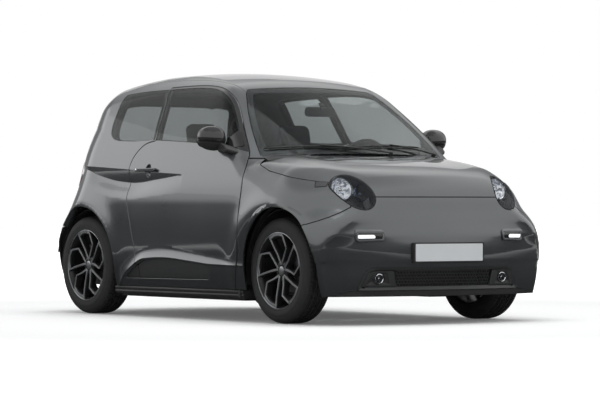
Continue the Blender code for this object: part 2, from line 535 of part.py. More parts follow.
screenRays = fanRays(-0.3, 0.7, steps(31, (73.2, 7), (75.2, 1)), steps(-0.72, (0.72, 6)))
screen = shell("windscreen", screenRays, "glass", 0.001, 0.001 + glassThick)
keep(screen, prism("screen_blank", grow(screenLine, -seam), "X", 0.0, 1.3))

bonnet = shell("bonnet", fanRays(1.0, 0.55, steps(-34, (-13, 4), (20, 3), (75, 6)), steps(-0.785, (-0.66, 2), (0.66, 8), (0.785, 2))), "paint", 0, 0.014)
keep(bonnet, prism("bonnet_blank", grow(bonnetLine, -doorGap / 2), "Z", 0.5, 1.4))
cut(bonnet, box("bonnet_front_cut", (0.5, -1, 0.3), (2, 1, noseCut + doorGap / 2)))
for side, word in ((1, "left"), (-1, "right")):
    reach = (0.50, 1.20) if side > 0 else (-1.20, -0.50)
    below = [(0.60, 0.30), (1.90, 0.30)] + [(1.90, 0.80)] + [(x, z) for x, z in reversed(bonnetZone[2:7])] + [(0.60, 0.985)]
    cut(bonnet, prism(f"bonnet_side_cut_{word}", grow(below, doorGap / 2), "Y", *reach), lampPrism(f"hood_lamp_{word}", side, doorGap))

bumperRays = aroundRays(steps(0.68, (2.0333, 20)), steps(0.165, (0.82, 8)))
bumper = shell("front_bumper", bumperRays, "paint", 0, skinThick)
cut(bumper, box("bumper_top_cut", (1.0, -1, noseCut - doorGap / 2), (2, 1, 1.2)))
for side, word in ((1, "left"), (-1, "right")):
    reach = (0.52, 1.20) if side > 0 else (-1.20, -0.52)
    cut(bumper, prism(f"bumper_side_cut_{word}", grow(fenderZone, panelGap), "Y", *reach),
        bpy.data.objects[f"front_arch_hole_{word}"], bpy.data.objects[f"lamp_hole_{word}"])
grilleLine = [(-0.600, 0.205), (0.600, 0.205), (0.545, 0.325), (0.500, 0.340), (-0.500, 0.340), (-0.545, 0.325)]
cut(bumper, prism("grille_hole", grilleLine, "X", 1.3, 1.9), box("bumper_back_cut", (-1, -1, 0), (1.30, 1, 1)))

# raised housings of the day lights (y, z), and the flat number plate's holder
dayLight = [(0.440, 0.494), (0.606, 0.486), (0.622, 0.500), (0.620, 0.562), (0.600, 0.570), (0.450, 0.562), (0.436, 0.548)]
for word, outline in (("left", dayLight), ("right", mirrored(dayLight))):
    housing = shell(f"day_light_{word}", bumperRays, None, -0.009, 0.006, True)
    keep(housing, prism(f"day_light_blank_{word}", outline, "X", 1.3, 1.9))
    fuse(bumper, housing)
plateFront, plateRear, plateHalf, plateLow, plateHigh = 1.676, -1.678, 0.262, 0.366, 0.484
fuse(bumper, box("plate_front", (1.640, -plateHalf, plateLow), (plateFront, plateHalf, plateHigh)))

grille = shell("front_grille", aroundRays(steps(0.90, (1.8133, 10)), steps(0.18, (0.36, 2))), "black_plastic", 0.010, 0.030)
keep(grille, prism("grille_blank", grow(grilleLine, -seam), "X", 1.3, 1.9))
for side in (1, -1):
    fuse(grille, rod(f"fog_lamp_{side}", (1.575, 0.458 * side, 0.274), (1.615, 0.458 * side, 0.274), 0.034, 12))

gate = shell("tailgate", fanRays(-0.85, 1.0, steps(-145, (-60, 8), (-22, 3)), steps(-0.68, (0.68, 8))), "paint", 0, skinThick)
keep(gate, prism("gate_blank", grow(gateLine, -doorGap / 2 - 0.002), "X", -2.0, -1.10))
gateCore = shell("gate_core", fanRays(-0.85, 1.0, steps(-145, (-60, 8), (-22, 3)), steps(-0.68, (0.68, 8))), None,
                 skinThick - 0.002, 0.045, True)
keep(gateCore, prism("gate_inset", grow(gateLine, -doorGap / 2 - 0.018), "X", -2.0, -1.19))
fuse(gate, gateCore)
cut(gate, box("gate_top_cut", (roofRear - doorGap, -1, 1.2), (0, 1, 2)), box("gate_low_cut", (-2, -1, 0), (0, 1, 0.624)),
    prism("gate_window_hole", gateWindow, "X", -2.0, -1.0))
rearGlass = shell("rear_glass", fanRays(-0.85, 1.0, steps(-88, (-48, 5)), steps(-0.52, (0.52, 6))), "glass", 0.002, 0.002 + glassThick)
keep(rearGlass, prism("rear_pane", grow(gateWindow, -seam), "X", -2.0, -1.0))

rearBumper = shell("rear_bumper", aroundRays(steps(-2.8633, (-1.15, 22)), steps(0.19, (0.64, 6))), "paint", 0, skinThick)
keep(rearBumper, prism("rear_bumper_zone", bumperRearZone, "Y", -1.2, 1.2))
cut(rearBumper, box("rear_bumper_top", (-2, -0.62, 0.612), (-1.2, 0.62, 0.8)))
for word in ("left", "right"):
    cut(rearBumper, bpy.data.objects[f"rear_arch_hole_{word}"])

fuse(rearBumper, box("plate_rear", (plateRear, -plateHalf, plateLow), (-1.640, plateHalf, plateHigh)))

# cowl: strip under the windscreen's foot, with both wipers
cowl = shell("cowl_panel", fanRays(0.35, 0.5, steps(22, (52, 4)), steps(-0.72, (0.72, 8))), "black_plastic", 0.001, 0.030)
keep(cowl, prism("cowl_blank", cowlLine, "Z", 0.6, 1.3))
cut(cowl, box("cowl_top_cut", (0.3, -1, 1.0), (0.95, 1, 1.4)), box("cowl_low_cut", (0.3, -1, 0.5), (0.95, 1, 0.955)))

# ---- structure under the skin ------------------------------------------------------------------------
# from the firewall's top to the tail: x, top z, bottom x, bottom z, half width
floorRows = [(0.618, 0.935, 0.640, 0.935, 0.660), (0.618, 0.450, 0.640, 0.444, 0.740), (0.520, 0.300, 0.530, 0.278, 0.740),
             (-0.480, 0.300, -0.470, 0.278, 0.740), (-0.560, 0.400, -0.550, 0.380, 0.740), (-0.690, 0.400, -0.690, 0.380, 0.740),
             (-0.700, 0.400, -0.700, 0.380, 0.534), (-0.915, 0.400, -0.907, 0.380, 0.534), (-0.995, 0.500, -0.985, 0.480, 0.534),
             (-1.480, 0.500, -1.480, 0.480, 0.534)]
floorPan = sheet("floor_pan", np.array([[(x, -w, z), (x, w, z)] for x, z, _, _, w in floorRows]),
                 np.array([[(x, -w, z), (x, w, z)] for _, _, x, z, w in floorRows]), "black_plastic")
for side, word in ((1, "left"), (-1, "right")):
    fuse(floorPan, box(f"post_{word}", (0.560, min(0.670 * side, 0.736 * side), 0.290), (0.618, max(0.670 * side, 0.736 * side), 0.885)))
    sill = prism(f"sill_{word}", [(0.600, 0.128), (0.795, 0.128), (0.815, 0.150), (0.812, 0.187), (0.764, 0.187), (0.762, 0.330),
                                  (0.705, 0.330), (0.640, 0.272), (0.600, 0.272)], "X", -0.690, 0.700)
    if side < 0:
        sill.data.transform(Matrix.Scale(-1, 4, (0, 1, 0)))
        sill.data.flip_normals()
    sillTie = box(f"sill_tie_{word}", (-0.600, min(0.604 * side, 0.700 * side), 0.262), (0.480, max(0.604 * side, 0.700 * side), 0.288))
    liner = lathe(f"rear_liner_{word}", [(0, 0.526), (0.362, 0.526), (0.362, 0.770), (0.356, 0.770), (0.356, 0.538), (0, 0.538)],
                  (rearAxleX, 0, hubZ), (0, side, 0), 28, closed=False)
    lower, upper = sorted((0.10 * side, 0.60 * side))
    cut(liner, box(f"liner_low_{word}", (-2, -1, -1), (0, 1, 0.302)),
        box(f"liner_axle_gap_{word}", (-1.23, lower, 0.2), (-1.05, upper, 0.42)))
    padLow, padHigh = sorted((0.768 * side, 0.800 * side))
    armLow, armHigh = sorted((0.43 * side, 0.51 * side))
    fuse(floorPan, sill, sillTie, liner, box(f"sill_pad_{word}", (-0.680, padLow, 0.170), (-0.470, padHigh, wallFoot - seam)),
         box(f"wing_pad_{word}", (0.676, min(0.795 * side, 0.834 * side), 0.150), (0.700, max(0.795 * side, 0.834 * side), wingFoot - seam)),
         box(f"arm_mount_{word}", (-0.785, armLow, armTop + seam), (-0.725, armHigh, 0.390)))

fuse(floorPan, box("drive_mount", (-1.200, -0.100, driveTop + seam), (-1.060, 0.100, 0.490)))
battery = box("battery_pack", (-0.465, -0.520, 0.150), (0.500, 0.520, 0.2776), "battery", False, 0.012)
driveUnit = box("drive_unit", (-1.300, -0.200, 0.180), (-0.960, 0.200, driveTop), "steel", False, 0.02)

rearAxle = box("rear_axle", (-0.930, -0.470, 0.270), (-0.850, 0.470, 0.308), "steel", False)
frontFrame = box("front_subframe", (1.000, -0.400, 0.165), (1.120, 0.400, 0.225), "steel", False)
for side, word in ((1, "left"), (-1, "right")):
    lower, upper = sorted((0.44 * side, 0.50 * side))
    fuse(rearAxle, box(f"trailing_arm_{word}", (-1.175, lower, 0.262), (-0.720, upper, armTop)),
         rod(f"rear_hub_{word}", (rearAxleX, 0.480 * side, hubZ), (rearAxleX, 0.655 * side, hubZ), 0.048, 16),
         rod(f"rear_stub_{word}", (rearAxleX, 0.600 * side, hubZ), (rearAxleX, (hubY + 0.020) * side, hubZ), 0.020))
    lower, upper = sorted((0.34 * side, 0.40 * side))
    wallLow, wallHigh = sorted((0.395 * side, 0.415 * side))
    deckLow, deckHigh = sorted((0.395 * side, 0.600 * side))
    fuse(frontFrame, box(f"rail_{word}", (0.6405, lower, 0.330), (1.500, upper, 0.430)),
         box(f"rail_leg_{word}", (1.010, lower, 0.200), (1.110, upper, 0.340)),
         box(f"rail_foot_{word}", (0.6404, lower, 0.410), (0.700, upper, 0.520)),
         box(f"tower_wall_{word}", (0.960, wallLow, 0.350), (1.165, wallHigh, 0.800)),
         box(f"tower_deck_{word}", (0.960, deckLow, 0.755), (1.165, deckHigh, 0.785)),
         prism(f"lower_arm_{word}", [(1.005, 0.38 * side), (1.115, 0.38 * side), (1.085, 0.665 * side), (1.040, 0.665 * side)], "Z",
               0.158, 0.178))
    liner = lathe(f"front_liner_{word}", [(0.364, 0.410), (0.370, 0.410), (0.370, 0.765), (0.364, 0.765)], (frontAxleX, 0, hubZ),
                  (0, side, 0), 24)
    cut(liner, box(f"front_liner_low_{word}", (0, -1, -1), (2, 1, 0.36)))
    fuse(frontFrame, liner)
    # the strut turns in its mount on the deck, and the foot in the lower arm
    foot, top = Vector((steerFoot[0], steerFoot[1] * side, steerFoot[2])), Vector((steerTop[0], steerTop[1] * side, steerTop[2]))
    lean = (top - foot).normalized()
    cut(frontFrame, rod(f"strut_hole_{word}", top - lean * 0.06, top + lean * 0.05, 0.0163, 12),
        rod(f"foot_hole_{word}", foot - lean * 0.06, foot + lean * 0.02, 0.0121, 12),
        rod(f"strut_room_{word}", foot + lean * 0.45, top - lean * 0.052, 0.036, 12))
    knuckle = rod(f"knuckle_{word}", foot - lean * 0.012, top - lean * 0.060, 0.024, 12, "steel", False)
    fuse(knuckle, rod(f"strut_rod_{word}", top - lean * 0.08, top - lean * 0.004, 0.0155, 12),
         rod(f"strut_foot_{word}", foot - lean * 0.042, foot, 0.0115, 12),
         rod(f"front_hub_{word}", (frontAxleX, 0.600 * side, hubZ), (frontAxleX, 0.660 * side, hubZ), 0.050, 16),
         rod(f"front_stub_{word}", (frontAxleX, 0.620 * side, hubZ), (frontAxleX, (hubY + 0.020) * side, hubZ), 0.020, 12),
         box(f"hub_carrier_{word}", (1.038, min(0.583 * side, 0.652 * side), 0.193), (1.087, max(0.583 * side, 0.652 * side), 0.403)))

# ---- wheels ----------------------------------------------------------------------------------------------
# (radius, distance outboard from the wheel's middle plane)
rimProfile = [(0.2287, 0.0945), (0.2287, 0.0865), (0.2060, 0.0700), (0.2120, -0.0845), (0.2287, -0.0865), (0.2287, -0.0945),
              (0.2050, -0.0900), (0.1960, 0.0560), (0.2150, 0.0945)]
hubProfile = [(0, 0.072), (0.034, 0.072), (0.062, 0.045), (0.062, 0.001), (0.128, 0.001), (0.128, -0.012), (0.050, -0.012),
              (0.048, -0.036), (0.0210, -0.036), (0.0210, 0.026), (0, 0.026)]
tyreProfile = [(0.2292, 0.0960), (0.2600, 0.0990), (0.2920, 0.0930), (0.3100, 0.0740), (0.3154, 0.0380), (0.3154, -0.0380),
               (0.3100, -0.0740), (0.2920, -0.0930), (0.2600, -0.0990), (0.2292, -0.0960), (0.2292, -0.0850), (0.2980, -0.0750),
               (0.2980, 0.0750), (0.2292, 0.0850)]


def spider():
    """Five Y spokes as one outline: (x, z) round the wheel's centre."""
    # radius, degrees from the spoke's middle
    rows = [(0.050, -36), (0.092, -9), (0.125, -13.5), (0.2015, -26.5), (0.2015, -20.0), (0.118, -3.0), (0.118, 3.0), (0.2015, 20.0),
            (0.2015, 26.5), (0.125, 13.5), (0.092, 9)]
    points = []
    for k in range(5):
        for r, a in rows:
            turn = math.radians(90 + 72 * k + a)
            points.append((r * math.cos(turn), r * math.sin(turn)))
    return points


for name, axle, side in (("fl", frontAxleX, 1), ("fr", frontAxleX, -1), ("rl", rearAxleX, 1), ("rr", rearAxleX, -1)):
    centre = (axle, hubY * side, hubZ)
    wheel = lathe(f"wheel_{name}", rimProfile, centre, (0, side, 0), 24, "alloy", False)
    arms = prism(f"spokes_{name}", spider(), "Y", 0.048, 0.074)
    if side < 0:
        arms.data.transform(Matrix.Scale(-1, 4, (0, 1, 0)))
        arms.data.flip_normals()
    arms.data.transform(Matrix.Translation(centre))
    fuse(wheel, lathe(f"hub_{name}", hubProfile, centre, (0, side, 0), 16, closed=False), arms)
    lathe(f"tyre_{name}", tyreProfile, centre, (0, side, 0), 24, "tyre", False)

# ---- cabin -------------------------------------------------------------------------------------------------
dash = prism("dashboard", [(0.6175, 0.935), (0.6175, 0.640), (0.500, 0.600), (0.430, 0.700), (0.420, 0.880), (0.460, 0.945),
                           (0.560, 0.972), (0.700, 0.965), (0.700, 0.937)], "Y", -0.640, 0.640, "cabin_plastic", False)
wheelAxis = Vector((-math.cos(steeringTilt), 0, math.sin(steeringTilt)))
centre = Vector(steeringCentre)
ringPoints = [(0.178 + 0.0155 * math.cos(a), 0.0155 * math.sin(a)) for a in np.linspace(0, 2 * math.pi, 7)[:-1]]
steering = lathe("steering_wheel", ringPoints, centre, wheelAxis, 24, "cabin_plastic", False)
boss = rod("steering_boss", centre - wheelAxis * 0.060, centre + wheelAxis * 0.010, 0.055, 16)
spokeBar = box("steering_bar", (-0.012, -0.176, -0.020), (0.006, 0.176, 0.020))
spokeBar.data.transform(Matrix.Translation(centre) @ Matrix.Rotation(-steeringTilt, 4, "Y"))
fuse(steering, boss, spokeBar, rod("steering_shaft", centre - wheelAxis * 0.120, centre - wheelAxis * 0.05, 0.0195, 20))
column = rod("steering_column", centre - wheelAxis * 0.075, centre - wheelAxis * 0.240, 0.035, 20)
fuse(dash, column)
cut(dash, rod("column_hole", centre - wheelAxis * 0.126, centre, 0.0205, 20))

for name, y in (("left", 0.36), ("right", -0.36)):
    seat = box(f"seat_{name}", (-0.300, y - 0.235, 0.400), (0.190, y + 0.235, 0.560), "cloth", False, 0.03)
    back = box(f"seat_back_{name}", (-0.065, y - 0.225, -0.02), (0.065, y + 0.225, 0.610), bevel=0.03)
    back.data.transform(Matrix.Translation((-0.270, 0, 0.480)) @ Matrix.Rotation(math.radians(-14), 4, "Y"))
    head = box(f"seat_head_{name}", (-0.045, y - 0.130, 0.600), (0.045, y + 0.130, 0.780), bevel=0.025)
    head.data.transform(Matrix.Translation((-0.270, 0, 0.480)) @ Matrix.Rotation(math.radians(-14), 4, "Y"))
    fuse(seat, back, head, box(f"seat_rails_{name}", (-0.240, y - 0.180, 0.3004), (0.140, y + 0.180, 0.420)))
bench = box("rear_bench", (-0.900, -0.520, 0.4004), (-0.540, 0.520, 0.500), "cloth", False, 0.02)
benchBack = box("bench_back", (-0.050, -0.520, -0.04), (0.050, 0.520, 0.520), bevel=0.02)
benchBack.data.transform(Matrix.Translation((-0.880, 0, 0.470)) @ Matrix.Rotation(math.radians(-16), 4, "Y"))
fuse(bench, benchBack)
mirrorRoom = box("cabin_mirror", (-0.010, -0.115, -0.032), (0.010, 0.115, 0.032), "cabin_plastic", False, 0.006)
mirrorRoom.data.transform(Matrix.Translation((0.350, 0, 1.285)) @ Matrix.Rotation(math.radians(8), 4, "Y"))
stem = rod("mirror_stem", (0.350, 0, 1.300), (0.420, 0, 1.345), 0.009, 10)
cut(stem, shell("stem_cut", screenRays, None, -0.08, 0.001 + glassThick + seam, True))
fuse(mirrorRoom, stem)
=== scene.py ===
import math

import bpy
import numpy as np
from mathutils import Matrix, Vector
from mathutils.geometry import delaunay_2d_cdt


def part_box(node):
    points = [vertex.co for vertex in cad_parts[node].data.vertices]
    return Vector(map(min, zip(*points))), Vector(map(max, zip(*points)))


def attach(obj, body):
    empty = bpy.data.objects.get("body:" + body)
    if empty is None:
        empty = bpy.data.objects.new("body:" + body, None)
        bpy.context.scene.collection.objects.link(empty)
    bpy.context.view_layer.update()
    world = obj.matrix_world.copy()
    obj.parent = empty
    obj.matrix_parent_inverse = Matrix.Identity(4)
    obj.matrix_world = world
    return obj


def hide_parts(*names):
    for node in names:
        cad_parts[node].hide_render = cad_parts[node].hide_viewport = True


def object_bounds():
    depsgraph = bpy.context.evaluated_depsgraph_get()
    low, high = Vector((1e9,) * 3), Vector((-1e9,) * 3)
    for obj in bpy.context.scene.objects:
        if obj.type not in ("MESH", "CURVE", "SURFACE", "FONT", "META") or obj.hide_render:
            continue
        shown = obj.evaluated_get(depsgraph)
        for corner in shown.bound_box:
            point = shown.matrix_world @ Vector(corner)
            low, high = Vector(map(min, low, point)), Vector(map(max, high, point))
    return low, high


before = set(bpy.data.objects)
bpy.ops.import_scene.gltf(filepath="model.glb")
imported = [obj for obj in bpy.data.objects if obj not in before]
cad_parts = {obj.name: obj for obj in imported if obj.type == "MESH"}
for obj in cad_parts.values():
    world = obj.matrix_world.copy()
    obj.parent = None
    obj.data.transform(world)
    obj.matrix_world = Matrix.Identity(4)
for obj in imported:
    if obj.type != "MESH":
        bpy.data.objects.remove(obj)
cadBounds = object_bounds()
sides = ((1, "left"), (-1, "right"))
mirroring = {1: Matrix.Identity(4), -1: Matrix.Scale(-1, 4, (0, 1, 0))}
pitch = 0.011


def middle(node):
    low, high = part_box(node)
    return (low + high) / 2


def added(name, data):
    made = bpy.data.objects.new(name, data)
    bpy.context.scene.collection.objects.link(made)
    return made


def meshOf(name, points, edges, faces):
    mesh = bpy.data.meshes.new(name)
    mesh.from_pydata(points, edges, faces)
    return mesh


def dropped(*pieces):
    for piece in pieces:
        bpy.data.objects.remove(piece, do_unlink=True)


def withLook(made, look):
    made.data.materials.clear()
    made.data.materials.append(look)
    return made


def fitted(made, rider, replaces=()):
    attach(made, rider)
    if replaces:
        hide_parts(*replaces)
    return made


def dress(made, rider, look, replaces=()):
    return fitted(withLook(made, look), rider, replaces)


# the skin below was drawn with the front axle at x 1.0625, so it slides to where the wheels are
slide = middle("tyre_fl").x - 1.0625
hubZ = middle("tyre_fl").z
frontAxle, rearAxle = 1.0625, middle("tyre_rl").x - slide
print("frame loaded, slide", round(slide, 5))


# smooth curve through (position, value) rows, straight past its ends
def curve(table):
    rows = np.array(sorted(table), float)
    xs, ys = rows[:, 0], rows[:, 1]
    gaps, slopes = np.diff(xs), np.diff(ys) / np.diff(xs)
    ends = np.empty(len(xs))
    ends[0], ends[-1] = slopes[0], slopes[-1]
    before, after = 2 * gaps[1:] + gaps[:-1], gaps[1:] + 2 * gaps[:-1]
    with np.errstate(divide="ignore", invalid="ignore"):
        mean = (before + after) / (before / slopes[:-1] + after / slopes[1:])
    ends[1:-1] = np.where(slopes[:-1] * slopes[1:] <= 0, 0.0, mean)

    def at(x):
        x = np.asarray(x, float)
        inside = np.clip(x, xs[0], xs[-1])
        i = np.clip(np.searchsorted(xs, inside, "right") - 1, 0, len(xs) - 2)
        h, u = gaps[i], (inside - xs[i]) / gaps[i]
        value = (1 + 2 * u) * (1 - u) ** 2 * ys[i] + u * (1 - u) ** 2 * h * ends[i]
        value = value + u * u * (3 - 2 * u) * ys[i + 1] + u * u * (u - 1) * h * ends[i + 1]
        return value + np.minimum(x - xs[0], 0) * ends[0] + np.maximum(x - xs[-1], 0) * ends[-1]

    return at


def both(a, b, radius):
    return np.minimum(-radius, np.maximum(a, b)) + np.hypot(np.maximum(radius + a, 0),
        np.maximum(radius + b, 0))


def blendMax(a, b, k):
    h = np.clip(0.5 + 0.5 * (a - b) / k, 0, 1)
    return b + (a - b) * h + k * h * (1 - h)


def ease(value):
    value = np.clip(value, 0, 1)
    return value * value * (3 - 2 * value)


# height against half width, length against narrowing, height against reach and so on
sideWidth = curve([(0.1, 0.79), (0.2, 0.822), (0.3, 0.842), (0.45, 0.853), (0.6, 0.857), (0.7, 0.855),
    (0.8, 0.847), (0.9, 0.83), (1.0, 0.803), (1.09, 0.772), (1.2, 0.725), (1.3, 0.678), (1.4, 0.628),
    (1.46, 0.595), (1.55, 0.54)])
sideTaper = curve([(-1.7, 0.035), (-1.4, 0.005), (-1.1, 0), (0.6, 0), (1.1, 0), (1.4, 0.008), (1.7, 0.045)])
frontBow = curve([(0.2, 0.25), (0.45, 0.235), (0.54, 0.2), (0.66, 0.11), (0.75, 0.1), (0.9, 0.15)])
frontCorner = curve([(0.2, 0.05), (0.45, 0.05), (0.56, 0.12), (0.7, 0.3), (0.85, 0.34), (0.95, 0.3)])
frontReach = curve([(0.1, 1.64), (0.16, 1.656), (0.24, 1.663), (0.35, 1.668), (0.44, 1.67), (0.52, 1.662),
    (0.6, 1.634), (0.67, 1.604), (0.754, 1.574), (0.803, 1.556), (0.87, 1.52), (0.95, 1.47), (1.2, 1.35)])
rearReach = curve([(0.1, 1.6), (0.25, 1.655), (0.38, 1.672), (0.46, 1.672), (0.53, 1.65), (0.6, 1.602),
    (0.68, 1.54), (0.77, 1.492), (0.88, 1.462), (1.03, 1.452), (1.19, 1.432), (1.35, 1.385), (1.45, 1.345),
    (1.6, 1.27)])
bonnetHeight = curve([(0.5, 1.025), (0.8, 1.014), (0.9, 1.002), (1.05, 0.982), (1.2, 0.957), (1.35, 0.922),
    (1.48, 0.873), (1.56, 0.825), (1.64, 0.76)])
roofHeight = curve([(0.4, 1.415), (0.22, 1.462), (0.1, 1.492), (0.0, 1.512), (-0.2, 1.538), (-0.4, 1.549),
    (-0.6, 1.545), (-0.8, 1.531), (-1.0, 1.507), (-1.2, 1.472), (-1.35, 1.435), (-1.5, 1.39)])
screenSlope, screenFoot = 0.682, (0.868, 1.003)

# swells, crowns and roundings of the skin
skin = {"archRing": 0.4, "archFade": 0.085, "archSwell": 0.016, "bonnetCrown": 0.083, "ridge": 0.012,
    "ridgeAt": 0.55, "ridgeWide": 0.13, "screenBow": 0.36, "roofCrown": 0.115, "edge": 0.1, "rearBow": 0.1,
    "rearCorner": 0.28}


# roughly how far a point lies outside the body's skin
def body(x, y, z):
    y = np.abs(y)
    low = np.clip((1.1 - z) / 0.25, 0, 1)
    width = sideWidth(z) - sideTaper(x) * (0.35 + 0.65 * low * low * (3 - 2 * low))
    for axle in (frontAxle, rearAxle):
        ring = np.hypot(x - axle, z - hubZ) - skin["archRing"]
        width = width + skin["archSwell"] * np.exp(-((ring / skin["archFade"]) ** 2))
    width = width - 0.045 * np.clip((x - 1.05) / 0.35, 0, 1) ** 2 * np.clip((z - 0.55) / 0.2, 0, 1)
    bonnet = bonnetHeight(x) - skin["bonnetCrown"] * y * y * np.minimum(y / 0.6, 1.3)
    bonnet = (bonnet + skin["ridge"] * np.exp(-(((y - skin["ridgeAt"]) / skin["ridgeWide"]) ** 2))
        * np.clip((1.5 - x) / 0.4, 0, 1))
    bow = np.clip(skin["screenBow"] - 0.62 * (z - 1.0), 0.08, skin["screenBow"])
    screen = screenFoot[1] + screenSlope * (screenFoot[0] - bow * y * y - x)
    roof = roofHeight(x) - skin["roofCrown"] * y * y
    top = blendMax(bonnet, -blendMax(-roof, -screen, 0.04), 0.012)
    edge = skin["edge"] + 0.05 * np.clip((x - 0.75) / 0.3, 0, 1) - 0.03 * np.exp(-(((x - 0.55) / 0.25) ** 2))
    edge = edge - 0.07 * np.clip((x - 1.25) / 0.2, 0, 1)
    d = both(y - width, (x - frontReach(z) + frontBow(z) * y * y) * 0.93, frontCorner(z))
    d = both(d, (z - top) * 0.85, edge)
    corner = (skin["rearCorner"] + 0.06 * np.clip((z - 0.45) / 0.2, 0, 1)
        - 0.14 * np.clip((z - 1.2) / 0.3, 0, 1))
    return both(d, (-x - rearReach(z) + skin["rearBow"] * y * y) * 0.97, corner)


# where a ray from an inside point leaves the body
def hit(o, v):
    o, v = np.broadcast_arrays(np.asarray(o, float), np.asarray(v, float))
    v = v / np.linalg.norm(v, axis=-1, keepdims=True)
    near, far = np.zeros(o.shape[:-1]), np.full(o.shape[:-1], 3.0)
    for _ in range(30):
        half = (near + far) / 2
        p = o + v * half[..., None]
        outside = body(p[..., 0], p[..., 1], p[..., 2]) > 0
        far = np.where(outside, half, far)
        near = np.where(outside, near, half)
    return o + v * near[..., None]


def outward(p):
    h = 0.0015
    x, y, z = p[..., 0], p[..., 1], p[..., 2]
    n = np.stack([body(x + h, y, z) - body(x - h, y, z), body(x, y + h, z) - body(x, y - h, z),
        body(x, y, z + h) - body(x, y, z - h)], -1)
    return n / np.linalg.norm(n, axis=-1, keepdims=True)


# flat maps of the skin: one rolls round the car at the height of its sides,
# the other fans over it from a line across the car
spineRear, spineFront, spineTop, turnReach, overReach = -0.75, 0.1, 1.15, 0.8, 0.5


def aroundGo(s, t):
    turn = np.clip((spineRear - s) / turnReach, 0, 3.2) - np.clip((s - spineFront) / turnReach, 0, 3.2)
    phi = math.pi / 2 + turn
    theta = np.clip((t - spineTop) / overReach, 0, 1.6)
    o = np.stack([np.clip(s, spineRear, spineFront), 0 * s, np.minimum(t, spineTop)], -1)
    return hit(o, np.stack([np.cos(phi) * np.cos(theta), np.sin(phi) * np.cos(theta), np.sin(theta)], -1))


def aroundBack(p):
    x, y, z = p[:, 0], p[:, 1], p[:, 2]
    centre = np.clip(x, spineRear, spineFront)
    phi = np.arctan2(y, x - centre)
    phi = np.where((x < spineRear) & (y < 0), phi + 2 * math.pi, phi)
    behind = np.where(x < spineRear, spineRear - turnReach * (phi - math.pi / 2), x)
    s = np.where(x > spineFront, spineFront + turnReach * (math.pi / 2 - phi), behind)
    t = np.where(z > spineTop, spineTop + overReach * np.arctan2(z - spineTop, np.hypot(x - centre, y)), z)
    return np.stack([s, t], -1)


around = (aroundGo, aroundBack)


def fan(x0, z0, reach):
    def go(s, t):
        o = np.stack([x0 + 0 * s, t, z0 + 0 * s], -1)
        return hit(o, np.stack([np.sin(s / reach), 0 * s, np.cos(s / reach)], -1))

    def back(p):
        return np.stack([np.arctan2(p[:, 0] - x0, p[:, 2] - z0) * reach, p[:, 1]], -1)

    return go, back


# a closed outline with its corners rounded; a row's third value is how far its corner is cut back
def softLoop(rows, cut=0.03, spacing=pitch):
    rows = [tuple(row) for row in rows]
    points = np.array([row[:2] for row in rows], float)
    reach = [row[2] if len(row) > 2 else cut for row in rows]
    out = []
    count = len(points)
    for i in range(count):
        here, before, after = points[i], points[i - 1], points[(i + 1) % count]
        a, b = before - here, after - here
        la, lb = np.linalg.norm(a), np.linalg.norm(b)
        start, stop = here + a / la * min(reach[i], la / 2), here + b / lb * min(reach[i], lb / 2)
        bend = 1 - max(-1.0, min(1.0, -float(np.dot(a, b)) / (la * lb)))
        pieces = 2 if bend < 0.02 else 4 if bend < 0.3 else 7
        for k in range(pieces + 1):
            u = k / pieces
            out.append((1 - u) ** 2 * start + 2 * u * (1 - u) * here + u * u * stop)
    return evenLine(np.array(out), spacing, True)


def evenLine(points, spacing, closed=False):
    points = np.asarray(points, float)
    if closed:
        points = np.vstack([points, points[:1]])
    keep = [0] + [i for i in range(1, len(points)) if np.linalg.norm(points[i] - points[i - 1]) > 1e-5]
    points = points[keep]
    out = []
    for a, b in zip(points[:-1], points[1:]):
        pieces = max(1, math.ceil(np.linalg.norm(b - a) / spacing))
        out += [a + (b - a) * k / pieces for k in range(pieces)]
    if not closed:
        out.append(points[-1])
    out = np.array(out)
    if closed and np.linalg.norm(out[0] - out[-1]) < 1e-5:
        out = out[:-1]
    return out


# outline with each side moved out by a distance
def grown(loop, distance):
    p = np.asarray(loop, float)
    before, after = p - np.roll(p, 1, 0), np.roll(p, -1, 0) - p
    turn = 1.0 if np.sum(p[:, 0] * np.roll(p[:, 1], -1) - p[:, 1] * np.roll(p[:, 0], -1)) > 0 else -1.0
    na = np.stack([before[:, 1], -before[:, 0]], 1) / np.linalg.norm(before, axis=1)[:, None] * turn
    nb = np.stack([after[:, 1], -after[:, 0]], 1) / np.linalg.norm(after, axis=1)[:, None] * turn
    mid = na + nb
    scale = np.maximum((mid * na).sum(1), 0.35)
    return p + mid / scale[:, None] * distance


# points of an outline seen from one side, laid on the skin
def onSkin(view, loop):
    a, b = np.asarray(loop, float)[:, 0], np.asarray(loop, float)[:, 1]
    zero = 0 * a
    if view == "side":
        return hit(np.stack([a, zero, b], -1), (0, 1, 0))
    if view == "front":
        return hit(np.stack([zero - 0.3, a, b], -1), (1, 0, 0))
    if view == "rear":
        return hit(np.stack([zero - 0.9, a, b], -1), (-1, 0, 0))
    return hit(np.stack([a, b, zero + 0.6], -1), (0, 0, 1))


# the same points on the flat map that rolls round the car
def rolled(view, loop):
    return aroundBack(onSkin(view, loop))


def inLoop(points, loop):
    a, b = loop, np.roll(loop, -1, 0)
    inside = np.zeros(len(points), bool)
    for k in range(0, len(points), 4000):
        x, y = points[k:k + 4000, 0, None], points[k:k + 4000, 1, None]
        with np.errstate(divide="ignore", invalid="ignore"):
            crossing = (a[:, 1] > y) != (b[:, 1] > y)
            at = (b[:, 0] - a[:, 0]) * (y - a[:, 1]) / (b[:, 1] - a[:, 1]) + a[:, 0]
        inside[k:k + 4000] = (np.sum(crossing & (x < at), 1) % 2).astype(bool)
    return inside


